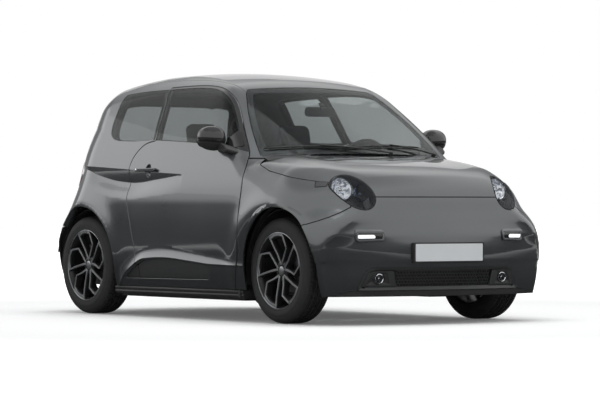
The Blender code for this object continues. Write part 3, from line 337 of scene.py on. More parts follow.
def nearLine(points, line, closed=True):
    a = np.asarray(line, float)
    b = np.roll(a, -1, 0)
    if not closed:
        a, b = a[:-1], b[:-1]
    d = b - a
    out = np.empty(len(points))
    for k in range(0, len(points), 4000):
        p = points[k:k + 4000, None, :]
        u = np.clip(((p - a) * d).sum(-1) / np.maximum((d * d).sum(-1), 1e-12), 0, 1)
        out[k:k + 4000] = np.sqrt((((p - a) - u[..., None] * d) ** 2).sum(-1).min(1))
    return out


# a panel's grid is of even triangles: a row's share of the step, and how much of it stays clear of the edges
rowShare, clearShare = 0.866, 0.35


# a sheet-metal or glass piece: the skin inside every zone and outside every cut, closed all round.
# near and deep are its two faces' depths under the skin, relief adds depth at a point of the skin
def panel(name, plane, zones, cuts=(), step=0.016, near=0.0, deep=0.012, rim=0.002, relief=None,
        lines=(), side=1):
    go = plane[0]
    points, edges = [], []

    def addLine(line, closed=True):
        first, count = len(points), len(line)
        points.extend(line)
        edges.extend((first + i, first + (i + 1) % count) for i in range(count if closed else count - 1))

    for loop in zones:
        addLine(loop)
        addLine(grown(loop, -rim))
    for loop in cuts:
        addLine(loop)
        addLine(grown(loop, rim))
    for line, closed in lines:
        addLine(line, closed)

    def inside(p):
        ok = np.ones(len(p), bool)
        for loop in zones:
            ok &= inLoop(p, loop)
        for loop in cuts:
            ok &= ~inLoop(p, loop)
        return ok

    low = np.max([loop.min(0) for loop in zones], 0)
    high = np.min([loop.max(0) for loop in zones], 0)
    columns, rows = int((high[0] - low[0]) / step) + 2, int((high[1] - low[1]) / (step * rowShare)) + 2
    i, j = np.meshgrid(np.arange(columns), np.arange(rows), indexing="ij")
    grid = np.stack([low[0] + (i + 0.5 * (j % 2)) * step, low[1] + j * step * rowShare], -1).reshape(-1, 2)
    grid = grid[inside(grid)]
    for loop in list(zones) + list(cuts):
        grid = grid[nearLine(grid, loop) > rim + step * clearShare]
    for line, closed in lines:
        grid = grid[nearLine(grid, line, closed) > step * clearShare]
    points = [Vector(p) for p in points] + [Vector(p) for p in grid]
    flat, _, faces, _, _, _ = delaunay_2d_cdt(points, edges, [], 0, 1e-6)
    flat = np.array([tuple(v) for v in flat])
    faces = np.array([f for f in faces if len(f) == 3])
    faces = faces[inside(flat[faces].mean(1))]
    a, b, c = flat[faces[:, 0]], flat[faces[:, 1]], flat[faces[:, 2]]
    faces = faces[np.abs((b[:, 0] - a[:, 0]) * (c[:, 1] - a[:, 1]) - (b[:, 1] - a[:, 1])
        * (c[:, 0] - a[:, 0])) > 1e-10]
    used, faces = np.unique(faces, return_inverse=True)
    faces, flat = faces.reshape(-1, 3), flat[used]
    count = len(flat)

    ends = np.concatenate([faces[:, [0, 1]], faces[:, [1, 2]], faces[:, [2, 0]]])
    known = {(int(p), int(q)) for p, q in ends}
    border = [pair for pair in known if (pair[1], pair[0]) not in known]
    onBorder = np.zeros(count, bool)
    onBorder[[p for pair in border for p in pair]] = True

    def placed(s, t):
        p = go(s, t)
        return p - outward(p) * ((near + relief(p))[..., None] if relief else near)

    s, t = flat[:, 0], flat[:, 1]
    base = go(s, t)
    out = outward(base)
    top = placed(s, t)
    normals = out.copy()
    if relief:
        h = 0.0012
        normals = np.cross(placed(s + h, t) - placed(s - h, t), placed(s, t + h) - placed(s, t - h))
        normals *= np.sign((normals * out).sum(1))[:, None]
        normals /= np.maximum(np.linalg.norm(normals, axis=1), 1e-12)[:, None]
    top = top - out * (np.where(onBorder, rim * 0.7, 0.0))[:, None]
    depth = deep(base) if callable(deep) else np.full(count, deep)
    if relief:
        depth = np.maximum(depth, depth + np.clip(relief(base), 0, 1))
    under = base - out * depth[:, None]
    turned = (np.cross(top[faces[:, 1]] - top[faces[:, 0]], top[faces[:, 2]] - top[faces[:, 0]])
        * out[faces[:, 0]]).sum() < 0
    vertices = np.concatenate([top, under])
    flange = [(q, p, p + count, q + count) for p, q in border]
    shell = [tuple(f) for f in faces] + [tuple(f[::-1] + count) for f in faces] + flange
    if turned != (side < 0):
        shell = [f[::-1] for f in shell]
    vertices = vertices * np.array([1, side, 1]) + np.array([slide, 0, 0])
    normals = np.where(onBorder[:, None], 0, normals) * np.array([1, side, 1])
    mesh = meshOf(name, vertices.tolist(), [], [[int(v) for v in f] for f in shell])
    mesh.shade_smooth()
    mesh.normals_split_custom_set_from_vertices(np.concatenate([normals, np.zeros((count, 3))]).tolist())
    return added(name, mesh)


# the same panel on both sides, on the body or on each side's door, and the solid that each stands for
def paired(name, rider, slotName, look, zones, cuts=(), plane=around, claim="", **shape):
    for way, word in sides:
        made = panel(f"{name}_{word}", plane, zones, cuts, side=way, **shape)
        claims = (f"{claim}_{word}",) if claim else ()
        dress(made, f"door_{word}" if rider == "door" else rider, look, claims)


# finishes
def shaderNodes(tree, *kinds):
    return (tree.nodes.new("ShaderNode" + kind) for kind in kinds)


def joinUp(tree, *rows):
    for start, output, end, socket in rows:
        tree.links.new(start.outputs[output], end.inputs[socket])


def setInputs(node, **values):
    for socket, value in values.items():
        node.inputs[socket.replace("_", " ")].default_value = value


def groupOf(name, inputs, outputs):
    tree = bpy.data.node_groups.new(name, "ShaderNodeTree")
    for socket, kind, value in inputs:
        tree.interface.new_socket(socket, in_out="INPUT", socket_type=kind).default_value = value
    for socket, kind in outputs:
        tree.interface.new_socket(socket, in_out="OUTPUT", socket_type=kind)
    return tree, tree.nodes.new("NodeGroupInput"), tree.nodes.new("NodeGroupOutput")


# fine grain with a slow cloud over it: for roughness, colour and bump
def makeGrain():
    number = "NodeSocketFloat"
    tree, start, end = groupOf("surfaceGrain", [("Vector", "NodeSocketVector", (0, 0, 0)),
        ("Fine scale", number, 400.0), ("Cloud scale", number, 6.0), ("Low", number, 0.4),
        ("High", number, 0.6)], [("Value", number), ("Fine", number), ("Cloud", number)])
    fine, cloud, span, mix = shaderNodes(tree, "TexNoise", "TexNoise", "MapRange", "Math")
    mix.operation = "MULTIPLY_ADD"
    mix.inputs[1].default_value = 0.35
    setInputs(fine, Detail=2)
    setInputs(cloud, Detail=4)
    setInputs(span, From_Min=0.35, From_Max=1.0)
    for noise, scale in ((fine, "Fine scale"), (cloud, "Cloud scale")):
        joinUp(tree, (start, "Vector", noise, "Vector"), (start, scale, noise, "Scale"))
    joinUp(tree, (fine, "Fac", mix, 0), (cloud, "Fac", mix, 2), (mix, 0, span, "Value"),
        (start, "Low", span, "To Min"), (start, "High", span, "To Max"), (span, "Result", end, "Value"),
        (fine, "Fac", end, "Fine"), (cloud, "Fac", end, "Cloud"))
    return tree


grainGroup = makeGrain()


# look: colour, second colour, roughness low and high, metallic, bump depth in metres, grain size
def finish(name, colour, other, rough, metallic=0.0, bump=0.0, fine=400.0, cloud=6.0, **sockets):
    made = bpy.data.materials.new(name)
    made.use_nodes = True
    tree = made.node_tree
    shader = tree.nodes["Principled BSDF"]
    place, grain, blend = shaderNodes(tree, "TexCoord", "Group", "Mix")
    grain.node_tree = grainGroup
    setInputs(grain, Fine_scale=fine, Cloud_scale=cloud, Low=rough[0], High=rough[1])
    blend.data_type = "RGBA"
    setInputs(blend, A=(*colour, 1), B=(*other, 1))
    joinUp(tree, (place, "Object", grain, "Vector"), (grain, "Cloud", blend, "Factor"),
        (blend, "Result", shader, "Base Color"), (grain, "Value", shader, "Roughness"))
    if bump:
        step = tree.nodes.new("ShaderNodeBump")
        setInputs(step, Distance=bump)
        joinUp(tree, (grain, "Fine", step, "Height"), (step, "Normal", shader, "Normal"))
    setInputs(shader, Metallic=metallic, **sockets)
    return made


paint = finish("paint", (0.098, 0.105, 0.109), (0.115, 0.122, 0.126), (0.26, 0.34), 0.85, 0.00002, 2600, 3,
    Coat_Weight=1.0, Coat_Roughness=0.04)
blackGloss = finish("blackGloss", (0.01, 0.01, 0.011), (0.014, 0.014, 0.015), (0.08, 0.16), 0.0, 0.00001, 900,
    5, Coat_Weight=0.6, Coat_Roughness=0.05)
blackPlastic = finish("blackPlastic", (0.018, 0.018, 0.019), (0.026, 0.026, 0.027), (0.42, 0.62), 0.0,
    0.00012, 900, 8)
darkInsert = finish("darkInsert", (0.03, 0.031, 0.032), (0.038, 0.039, 0.04), (0.3, 0.42), 0.1,
    0.00006, 1200, 6)
glass = finish("glass", (0.44, 0.47, 0.47), (0.47, 0.5, 0.5), (0.0, 0.0), 0.0,
    Transmission_Weight=1.0, IOR=1.22)
tintedGlass = finish("tintedGlass", (0.36, 0.38, 0.38), (0.39, 0.41, 0.41), (0.0, 0.0), 0.0,
    Transmission_Weight=1.0, IOR=1.22)
lampGlass = finish("lampGlass", (0.03, 0.034, 0.04), (0.036, 0.04, 0.046), (0.02, 0.04), 0.0,
    Alpha=0.14, IOR=1.5)
redLamp = finish("redLamp", (0.32, 0.012, 0.012), (0.38, 0.02, 0.02), (0.05, 0.12), 0.0, Coat_Weight=1.0)
rubber = finish("rubber", (0.014, 0.014, 0.015), (0.024, 0.024, 0.024), (0.62, 0.85), 0.0, 0.00015, 700, 9)
alloyBright = finish("alloyBright", (0.4, 0.41, 0.42), (0.47, 0.48, 0.49), (0.24, 0.36), 0.92,
    0.00003, 1500, 10)
alloyDark = finish("alloyDark", (0.016, 0.016, 0.017), (0.024, 0.024, 0.025), (0.26, 0.38), 0.3,
    0.00003, 1200, 10)
steel = finish("steel", (0.12, 0.12, 0.125), (0.18, 0.175, 0.17), (0.38, 0.62), 0.8, 0.0002, 300, 12)
underSteel = finish("underSteel", (0.022, 0.022, 0.023), (0.04, 0.039, 0.038), (0.45, 0.7), 0.3,
    0.0003, 260, 12)
cabinPlastic = finish("cabinPlastic", (0.028, 0.029, 0.031), (0.038, 0.039, 0.041), (0.6, 0.8), 0.0,
    0.0002, 1300, 7)
cloth = finish("cloth", (0.045, 0.047, 0.05), (0.07, 0.072, 0.076), (0.85, 0.95), 0.0, 0.0003, 1500, 10)
batteryCase = finish("batteryCase", (0.09, 0.095, 0.1), (0.13, 0.135, 0.14), (0.4, 0.6), 0.5, 0.0001, 300, 10)
plateGrey = finish("plateGrey", (0.6, 0.62, 0.63), (0.64, 0.66, 0.67), (0.35, 0.45), 0.0, 0.00003, 600, 8)
alloyCap = finish("alloyCap", (0.3, 0.31, 0.32), (0.36, 0.37, 0.38), (0.28, 0.4), 0.9, 0.00002, 1500, 20)
caliperGrey = finish("caliperGrey", (0.1, 0.1, 0.105), (0.14, 0.14, 0.145), (0.4, 0.55), 0.6, 0.0002, 350, 14)
chrome = finish("chrome", (0.78, 0.8, 0.82), (0.84, 0.86, 0.88), (0.05, 0.12), 1.0, 0.00001, 600, 12)
blueBowl = finish("blueBowl", (0.045, 0.085, 0.15), (0.07, 0.12, 0.2), (0.1, 0.2), 0.9, 0.00001, 600, 12,
    Coat_Weight=0.5)
lampDark = finish("lampDark", (0.02, 0.022, 0.026), (0.03, 0.032, 0.037), (0.4, 0.55), 0.1, 0.00003, 700, 10)
lampSatin = finish("lampSatin", (0.16, 0.165, 0.175), (0.2, 0.205, 0.215), (0.22, 0.34), 0.5, 0.00003, 700,
    10, Coat_Weight=0.5)
dayWhite = finish("dayWhite", (0.9, 0.92, 0.95), (0.94, 0.96, 0.98), (0.12, 0.2), 0.0, 0.0, 500, 8,
    Emission_Color=(0.93, 0.97, 1.0, 1), Emission_Strength=0.55, Coat_Weight=0.6)
# the cut reflector's faint emission is painted reflection: it glows though the bulb in front of it is unlit
reflectorPaintedGlow = finish("reflectorPaintedGlow", (0.7, 0.72, 0.75), (0.8, 0.82, 0.85), (0.1, 0.2), 1.0, 0.0, 300, 30,
    Emission_Color=(0.8, 0.88, 1.0, 1), Emission_Strength=0.16)
lining = finish("lining", (0.055, 0.056, 0.057), (0.07, 0.071, 0.072), (0.85, 0.95), 0.0, 0.0002, 1400, 8)
print("finishes made")


# half an outline and its mirror image
def bothHalves(rows):
    return rows + [(-row[0], *row[1:]) for row in rows[-2:0:-1]]


def oval(at, wide, tall, count):
    turns = [k * math.pi / (count / 2) for k in range(count)]
    return [(at[0] + wide * math.cos(a), at[1] + tall * math.sin(a)) for a in turns]


# shut lines: seen from the side (x, z), from ahead (y, z) or from above (x, y);
# a row's third value is how far its corner is cut back
gaps = {"door": 0.005, "fixed": 0.003, "roof": 0.001, "gate": 0.008}
doorLine = [(0.653, 0.192, 0.01), (0.704, 0.368), (0.717, 0.495), (0.716, 0.657), (0.728, 0.78),
    (0.729, 0.863), (0.703, 0.94), (0.677, 0.984), (0.65, 1.027), (0.567, 1.112), (0.503, 1.174),
    (0.433, 1.241), (0.365, 1.301), (0.31, 1.345), (0.266, 1.376), (0.195, 1.411), (0.103, 1.438),
    (0.0, 1.45), (-0.1, 1.455), (-0.25, 1.455), (-0.445, 1.45, 0.012), (-0.408, 1.32), (-0.384, 1.198),
    (-0.358, 1.11, 0.014), (-0.462, 1.096), (-0.524, 1.054), (-0.572, 0.998), (-0.586, 0.933), (-0.583, 0.85),
    (-0.566, 0.739), (-0.518, 0.593), (-0.469, 0.412), (-0.446, 0.244), (-0.446, 0.192, 0.01)]
doorHole = [(-0.338, 1.124, 0.014), (-0.14, 1.112), (0.1, 1.099), (0.3, 1.083), (0.55, 1.062, 0.01),
    (0.572, 1.074, 0.01), (0.49, 1.156), (0.42, 1.221), (0.352, 1.281), (0.298, 1.324), (0.255, 1.353),
    (0.188, 1.386), (0.098, 1.413), (0.0, 1.425), (-0.1, 1.43), (-0.25, 1.43), (-0.417, 1.426, 0.014),
    (-0.386, 1.31), (-0.362, 1.198)]
doorWindow = [(-0.358, 1.1135, 0.006), (-0.14, 1.104), (0.1, 1.091), (0.3, 1.075), (0.55, 1.054, 0.006),
    (0.6, 1.062, 0.01), (0.497, 1.164), (0.427, 1.229), (0.359, 1.289), (0.305, 1.332), (0.261, 1.362),
    (0.192, 1.396), (0.101, 1.423), (0.0, 1.435), (-0.1, 1.44), (-0.25, 1.44), (-0.44, 1.436, 0.006),
    (-0.405, 1.32), (-0.381, 1.198)]
quarterHole = [(-0.4, 1.118, 0.014), (-0.596, 1.114), (-0.787, 1.122), (-0.845, 1.132), (-0.892, 1.158),
    (-0.916, 1.2), (-0.925, 1.262), (-0.927, 1.334), (-0.932, 1.394, 0.012), (-0.918, 1.408, 0.012),
    (-0.815, 1.419), (-0.641, 1.425), (-0.482, 1.427, 0.014), (-0.447, 1.32), (-0.421, 1.198)]
quarterWindow = [(-0.371, 1.1165, 0.006), (-0.596, 1.11), (-0.787, 1.116), (-0.858, 1.123), (-0.918, 1.15),
    (-0.948, 1.196), (-0.959, 1.262), (-0.961, 1.334), (-0.966, 1.402, 0.012), (-0.948, 1.42, 0.012),
    (-0.815, 1.43), (-0.641, 1.436), (-0.447, 1.438, 0.006), (-0.412, 1.32), (-0.388, 1.198)]
hoodSide = [(0.795, 0.949), (0.925, 0.908), (1.124, 0.872), (1.265, 0.851), (1.4, 0.835)]
wingFoot = [(1.3, 0.558), (1.36, 0.579), (1.41, 0.595), (1.455, 0.612), (1.492, 0.634), (1.518, 0.662),
    (1.532, 0.692)]
screenHalf = [(0.0, 1.022), (0.35, 1.016), (0.682, 1.002, 0.012), (0.674, 1.038), (0.65, 1.112),
    (0.603, 1.225), (0.548, 1.32), (0.49, 1.4, 0.015), (0.462, 1.421, 0.015), (0.35, 1.431), (0.174, 1.439),
    (0.0, 1.443)]
screenLine = bothHalves(screenHalf)
roofSide = [(0.6, 0.48), (0.2, 0.493), (0.1, 0.508), (-0.3, 0.533), (-0.8, 0.53), (-1.165, 0.505)]
gateSide = [(0.62, 0.61), (0.7, 0.632), (0.9, 0.645), (1.1, 0.634), (1.25, 0.603), (1.34, 0.576),
    (1.4, 0.564)]
gateWindow = [(0.5, 1.09), (0.44, 1.365), (0.3, 1.385), (-0.3, 1.385), (-0.44, 1.365), (-0.5, 1.09),
    (-0.3, 1.07), (0.3, 1.07)]
noseLine, gateTop, gateFoot = 0.752, -1.165, 0.62
lampCentre = np.array([1.4753, 0.5549, 0.7807])
lampAlong, lampAcross = np.array([0.7014, -0.436, -0.5639]), np.array([0.0938, 0.8407, -0.5334])
lampNormal = np.array([0.7066, 0.3212, 0.6305])
lampShape = [(-0.135, 0.078), (-0.159, 0.023), (-0.152, -0.033), (-0.117, -0.079), (-0.052, -0.095),
    (0.027, -0.095), (0.094, -0.078), (0.131, -0.052), (0.15, -0.006), (0.14, 0.048), (0.097, 0.087),
    (0.028, 0.101), (-0.052, 0.1)]
sFront, sRear = spineFront + turnReach * math.pi / 2, spineRear - turnReach * math.pi / 2
archTable = {"front": (1.11, 0.375, 0.355, 0.693), "rear": (-1.105, 0.4, 0.415, 0.696)}


def archRows(which):
    centre, ahead, behind, tall = archTable[which]
    rows = [(centre + ahead, 0.1), (centre + ahead, hubZ * 0.8)]
    for k in range(33):
        a = math.pi * k / 32
        rows.append((centre + (ahead if math.cos(a) > 0 else behind) * math.cos(a),
            hubZ + (tall - hubZ) * math.sin(a)))
    return rows + [(centre - behind, hubZ * 0.8), (centre - behind, 0.1)]


def lampPoints(rows):
    p = np.array([lampCentre + lampAlong * u + lampAcross * v - lampNormal * 0.12 for u, v in rows])
    return hit(p, lampNormal)


def mirrorS(loop, centre):
    return np.stack([2 * centre - loop[:, 0], loop[:, 1]], -1)[::-1]


def mirrorY(p):
    return p * np.array([1, -1, 1])


doorLoop = softLoop(doorLine, 0.05)
doorSkin = rolled("side", doorLoop)
screenSkin = onSkin("front", softLoop(screenLine, 0.05))
screenAround = aroundBack(screenSkin)
lampSkin = lampPoints(softLoop(lampShape, 0.05))
frontArchFlat, rearArchFlat = (rolled("side", evenLine(archRows(word), pitch, True))
    for word in ("front", "rear"))
wingFootSkin = onSkin("side", evenLine(wingFoot, 0.01))
hoodSideSkin = onSkin("side", evenLine(hoodSide, 0.01))
gateSideSkin = onSkin("rear", evenLine([(y, z) for z, y in gateSide], 0.01))
gateTopSkin = onSkin("top", evenLine([(gateTop, 0.56), (gateTop, 0.3), (gateTop, 0.0)], 0.01))
roofSideSkin = onSkin("top", evenLine(roofSide, 0.01))
tailRing = {"radius": 0.082, "height": 0.905}
tailOut = np.array([-0.72, 0.69, 0.05]) / np.linalg.norm([-0.72, 0.69, 0.05])
tailCentre = hit(np.array([-1.12, 0.49, tailRing["height"]]), np.array([-0.55, 0.83, 0.0]))
tailAcross = np.cross(tailOut, (0, 0, 1)) / np.linalg.norm(np.cross(tailOut, (0, 0, 1)))
tailUp = np.cross(tailAcross, tailOut)


def tailCircle(radius, count=64):
    turns = np.linspace(0, 2 * math.pi, count, endpoint=False)
    p = (tailCentre + (tailAcross * np.cos(turns)[:, None] + tailUp * np.sin(turns)[:, None]) * radius
        - tailOut * 0.08)
    return hit(p, tailOut)


# pressed forms of the side: all depths in metres under the skin, seen from the side
side = {"scoopSlope": 0.4, "scoopBack": 0.11, "ridge": 0.016, "lip": 0.0035, "lipWide": 0.02}
scoopTop = curve([(-1.3, 0.965), (-1.108, 0.957), (-0.856, 0.945), (-0.501, 0.926), (-0.224, 0.908),
    (0.065, 0.895)])
scoopLow = curve([(-1.3, 0.955), (-1.093, 0.932), (-0.955, 0.899), (-0.709, 0.861), (-0.522, 0.851),
    (-0.256, 0.868), (0.065, 0.894)])
bandTop = curve([(-0.76, 0.2), (-0.687, 0.288), (-0.576, 0.363), (-0.412, 0.419), (-0.186, 0.446),
    (-0.01, 0.436), (0.312, 0.404), (0.721, 0.369)])
bandLow = curve([(-0.7, 0.15), (-0.647, 0.227), (-0.515, 0.315), (-0.349, 0.372), (-0.124, 0.381),
    (0.2, 0.362), (0.411, 0.347), (0.719, 0.341)])


# distance outside a wheel opening's edge
def pastArch(p, which):
    centre, ahead, behind, tall = archTable[which]
    dx = p[..., 0] - centre
    reach = np.where(dx > 0, ahead, behind)
    rho = np.hypot(dx / reach, np.maximum(p[..., 2] - hubZ, -0.02) / (tall - hubZ))
    return (rho - 1) * (reach + tall - hubZ) / 2


def sideRelief(p):
    x, z = p[..., 0], p[..., 2]
    top, low = scoopTop(x), scoopLow(x)
    tall = np.clip(top - low, 0, 1)
    deepest = side["scoopSlope"] * tall * np.clip((0.065 - x) / 0.03, 0, 1)
    depth = deepest * np.clip((top - z) / np.maximum(tall, 1e-4), 0,
        1) * (1 - ease((low - z) / side["scoopBack"]))
    # light band over the dark insert
    high, foot = bandTop(x), bandLow(x)
    wide = np.maximum(high - foot, 0.01)
    swell = side["ridge"] * ease((x + 0.76) / 0.16) * (0.25 + 0.75 * ease((0.8 - x) / 0.55)) * (x < 0.8)
    u = np.clip((high - z) / wide, 0, 1)
    drop = np.clip((foot - z) / 0.01, 0, 1)
    depth = depth - swell * np.where(z > foot, u ** 1.6, 1 - 0.8 * drop)
    # raised lip round each wheel opening
    for which in archTable:
        away = pastArch(p, which)
        depth = (depth - side["lip"] * (1 - ease((away - side["lipWide"]) / 0.006))
            * ease((away + 0.03) / 0.01))
    return depth


beltZ, sillTop = 1.02, 0.194
trim = {"door": 0.06, "doorTop": 0.03, "doorFoot": 0.022, "footZ": 0.36, "wall": 0.05,
    "wallTop": 0.022, "fade": 0.1}


def doorDeep(p):
    over, under = (p[..., 2] - beltZ) / trim["fade"], (trim["footZ"] - p[..., 2]) / trim["fade"]
    return trim["door"] - trim["doorTop"] * np.clip(over, 0, 1) - trim["doorFoot"] * np.clip(under, 0, 1)


def wallDeep(p):
    return trim["wall"] - trim["wallTop"] * np.clip((p[..., 2] - beltZ) / trim["fade"], 0, 1)


def flatPath(*parts):
    return np.concatenate([np.asarray(part, float).reshape(-1, 2) for part in parts])


roofCut = flatPath(aroundBack(roofSideSkin), aroundBack(gateTopSkin), [(-2.3, 1.48), (-2.3, 2.0), (1.2, 2.0)])
gateCut = flatPath(aroundBack(gateSideSkin), aroundBack(gateTopSkin),
    [(-2.3, 1.48), (-2.3, 0.4), (-1.6, 0.4)])
quarterFlat, quarterHoleFlat, windowFlat, holeFlat = (rolled("side", softLoop(rows, 0.05))
    for rows in (quarterWindow, quarterHole, doorWindow, doorHole))
bowlAt, bowlSize = (-0.355, 0.922), (0.0328, 0.04)
bowlFlat = rolled("side", oval(bowlAt, *bowlSize, 40))
insertFoot = 0.2435
insertRows = [(x, float(bandLow(x)) - 0.0125) for x in np.linspace(-0.612, 0.392, 72)]
insertRows = [row for row in insertRows if row[1] > insertFoot + 0.004]
insertRows += [(0.352, 0.25, 0.004), (-0.6, insertFoot, 0.004)]
insertFlat = rolled("side", softLoop([(*row[:2], row[2] if len(row) > 2 else 0.003) for row in insertRows],
    0.003, 0.01))
beltFlat = flatPath([(-1.2, 1.1125)],
    rolled("side", evenLine([(-0.5, 1.1125), (-0.358, 1.1125), (-0.14, 1.103), (0.1, 1.09), (0.3, 1.074),
    (0.55, 1.052), (0.64, 1.028)], pitch)), [(1.0, 1.03), (1.0, 1.9), (-1.2, 1.9)])
wallFoot = rolled("side", evenLine([(-1.55, 0.605), (-1.4, 0.565), (-1.2, 0.505), (-1.2, 0.3)], pitch))
wallZone = flatPath([(-2.2, 0.617)], evenLine([(-2.1, 0.617), (-1.75, 0.617), wallFoot[0]], pitch), wallFoot,
    evenLine([(-1.2, sillTop), (-0.4, sillTop), (0.0, 0.99)], pitch),
    evenLine(rolled("side", [(0.3, 0.99), (0.77, 0.992)]), pitch), [(0.95, 1.0), (0.95, 1.75), (-2.2, 1.75)])
wallZone = evenLine(wallZone, pitch, True)
wingZone = evenLine(flatPath(rolled("side", [(0.6, 0.195), (0.95, 0.195)]), rolled("side", [(1.2, 0.3)]),
    aroundBack(wingFootSkin), aroundBack(lampSkin.mean(0)[None]), aroundBack(hoodSideSkin[::-1]),
    rolled("side", [(0.765, 0.965), (0.735, 0.985), (0.6, 0.985)])), pitch, True)
lampFlat = aroundBack(lampSkin)
span = np.linspace(-1.45, 0.8, 206)


def along(line, offset, first, last):
    xs = span[(span >= first) & (span <= last)]
    return rolled("side", np.stack([xs, line(xs) + offset], -1)), False


creases = [along(*row) for row in ((scoopTop, 0.0015, -1.3, 0.05), (scoopTop, -0.0015, -1.3, 0.03),
    (scoopLow, 0.003, -1.3, 0.0), (scoopLow, -0.003, -1.3, 0.0), (bandTop, 0.0, -0.74, 0.78),
    (bandLow, 0.0012, -0.69, 0.78), (bandLow, -0.0012, -0.69, 0.78), (bandLow, -0.0105, -0.69, 0.78))]
lipLines = {word: [(grown(flat, side["lipWide"] + more), True) for more in (-0.001, 0.007)]
    for word, flat in (("rear", rearArchFlat), ("front", frontArchFlat))}
paired("sidePanel", "body", "paint", paint, [wallZone], [grown(doorSkin, gaps["door"] / 2), quarterFlat,
    rearArchFlat, grown(screenAround, 0.003), grown(roofCut, gaps["roof"] / 2),
    grown(gateCut, gaps["gate"] / 2), aroundBack(tailCircle(0.086)), insertFlat], deep=wallDeep,
    relief=sideRelief, lines=creases + lipLines["rear"], claim="body_side")
paired("doorSkin", "door", "paint", paint, [grown(doorSkin, -gaps["door"] / 2)],
    [beltFlat, windowFlat, grown(screenAround, 0.024), insertFlat, bowlFlat], step=0.013, deep=0.016,
    relief=sideRelief, lines=creases, claim="door")
paired("doorFrame", "door", "black_gloss", blackGloss, [grown(doorSkin, -gaps["door"] / 2),
    grown(beltFlat, -0.0006)], [windowFlat, grown(screenAround, 0.024)], near=0.0004, deep=0.014)
paired("doorFrameInner", "door", "black_plastic", blackPlastic, [grown(doorSkin, -0.01)],
    [holeFlat, grown(screenAround, 0.034), flatPath([(-2, 0), (2, 0)], [(2, 1.02), (-2, 1.02)])], step=0.03,
    near=0.0165, deep=0.034)
paired("doorTrim", "door", "cabin_plastic", cabinPlastic, [grown(doorSkin, -0.024)],
    [holeFlat, grown(screenAround, 0.048)], step=0.03, near=0.036, deep=doorDeep)
paired("wing", "body", "paint", paint, [grown(wingZone, -gaps["fixed"] / 2)],
    [grown(doorSkin, gaps["door"] / 2), frontArchFlat, grown(lampFlat, 0.002)], relief=sideRelief,
    lines=lipLines["front"], claim="fender")
paired("quarterPane", "body", "glass", tintedGlass, [grown(quarterFlat, -0.0005)], step=0.03, near=0.002,
    deep=0.006, claim="quarter_glass")
paired("quarterBack", "body", "black_plastic", blackPlastic, [grown(quarterFlat, -0.0008)], [quarterHoleFlat],
    step=0.03, near=0.0066, deep=0.045)
paired("doorPane", "door", "glass", tintedGlass, [grown(windowFlat, -0.0005)], step=0.03, near=0.002,
    deep=0.006, claim="door_glass")
print("sides made")

# panels across the car
hoodFan, roofFan, screenFan = fan(1.0, 0.55, 0.55), fan(-0.4, 0.8, 0.75), fan(-0.3, 0.7, 0.9)
gateFan, lampFan = fan(-0.85, 1.0, 0.6), fan(1.05, 0.62, 0.5)
hoodRear = onSkin("top", evenLine([(0.802, 0.7), (0.842, 0.45), (0.882, 0.0), (0.842, -0.45), (0.802, -0.7)],
    pitch))
nose = onSkin("front", evenLine([(-0.62, noseLine), (0.62, noseLine)], pitch))
lampMid = lampSkin.mean(0)[None]
hoodZone = evenLine(flatPath(hoodFan[1](hoodRear), hoodFan[1](mirrorY(hoodSideSkin)),
    hoodFan[1](mirrorY(lampMid)), hoodFan[1](nose), hoodFan[1](lampMid), hoodFan[1](hoodSideSkin[::-1])),
    pitch, True)
hoodLamps = [grown(hoodFan[1](p), 0.003) for p in (lampSkin, mirrorY(lampSkin))]
dress(panel("bonnetSkin", hoodFan, [grown(hoodZone, -gaps["door"] / 2)], hoodLamps, deep=0.014), "bonnet",
    paint, replaces=("bonnet",))

roofZone = evenLine(roofFan[1](np.concatenate([roofSideSkin, mirrorY(roofSideSkin)[::-1]])), pitch, True)
dress(panel("roofSkin", roofFan, [grown(roofZone, -gaps["roof"] / 2)], [grown(roofFan[1](screenSkin), 0.003)],
    deep=0.025), "body", paint, replaces=("roof_panel",))
dress(panel("screenPane", screenFan, [grown(screenFan[1](screenSkin), -0.0005)], step=0.03, near=0.001,
    deep=0.006), "body", glass, replaces=("windscreen",))

innerHalf = [(0.0, 1.052), (0.33, 1.048), (0.61, 1.04, 0.02), (0.616, 1.06, 0.02), (0.606, 1.112),
    (0.562, 1.225), (0.508, 1.32), (0.45, 1.396, 0.03), (0.4, 1.404, 0.02), (0.174, 1.409), (0.0, 1.412)]
screenInner = softLoop(bothHalves(innerHalf), 0.05)
dress(panel("screenBorder", screenFan, [grown(screenFan[1](screenSkin), -0.0015)],
    [screenFan[1](onSkin("front", screenInner))], step=0.03, near=0.0064, deep=0.0084), "body",
    blackPlastic)

gateFootSkin = onSkin("rear", evenLine([(-0.608, gateFoot + 0.004), (0.608, gateFoot + 0.004)], pitch))
gateZone = evenLine(gateFan[1](np.concatenate([gateSideSkin, gateTopSkin, mirrorY(gateTopSkin)[::-1],
    mirrorY(gateSideSkin)[::-1], gateFootSkin])), pitch, True)
gateHole = gateFan[1](onSkin("rear", softLoop(gateWindow, 0.05)))
gateTails = [gateFan[1](p) for p in (tailCircle(0.086), mirrorY(tailCircle(0.086)))]
dress(panel("gateSkin", gateFan, [grown(gateZone, -gaps["gate"] / 2)], [gateHole] + gateTails, deep=0.016),
    "tailgate", paint, replaces=("tailgate",))
dress(panel("gateTrim", gateFan, [grown(gateZone, -0.024)], [grown(gateHole, 0.012)]
    + [grown(t, 0.02) for t in gateTails], step=0.03, near=0.018, deep=0.043), "tailgate",
    cabinPlastic)
dress(panel("rearPane", gateFan, [grown(gateHole, -0.0005)], step=0.03, near=0.002, deep=0.006), "tailgate",
    tintedGlass, replaces=("rear_glass",))
dress(panel("rearBorder", gateFan, [grown(gateHole, -0.0015)], [grown(gateHole, -0.032)], step=0.03,
    near=0.0064, deep=0.0084), "tailgate", blackGloss)
print("roof, bonnet and tailgate made")

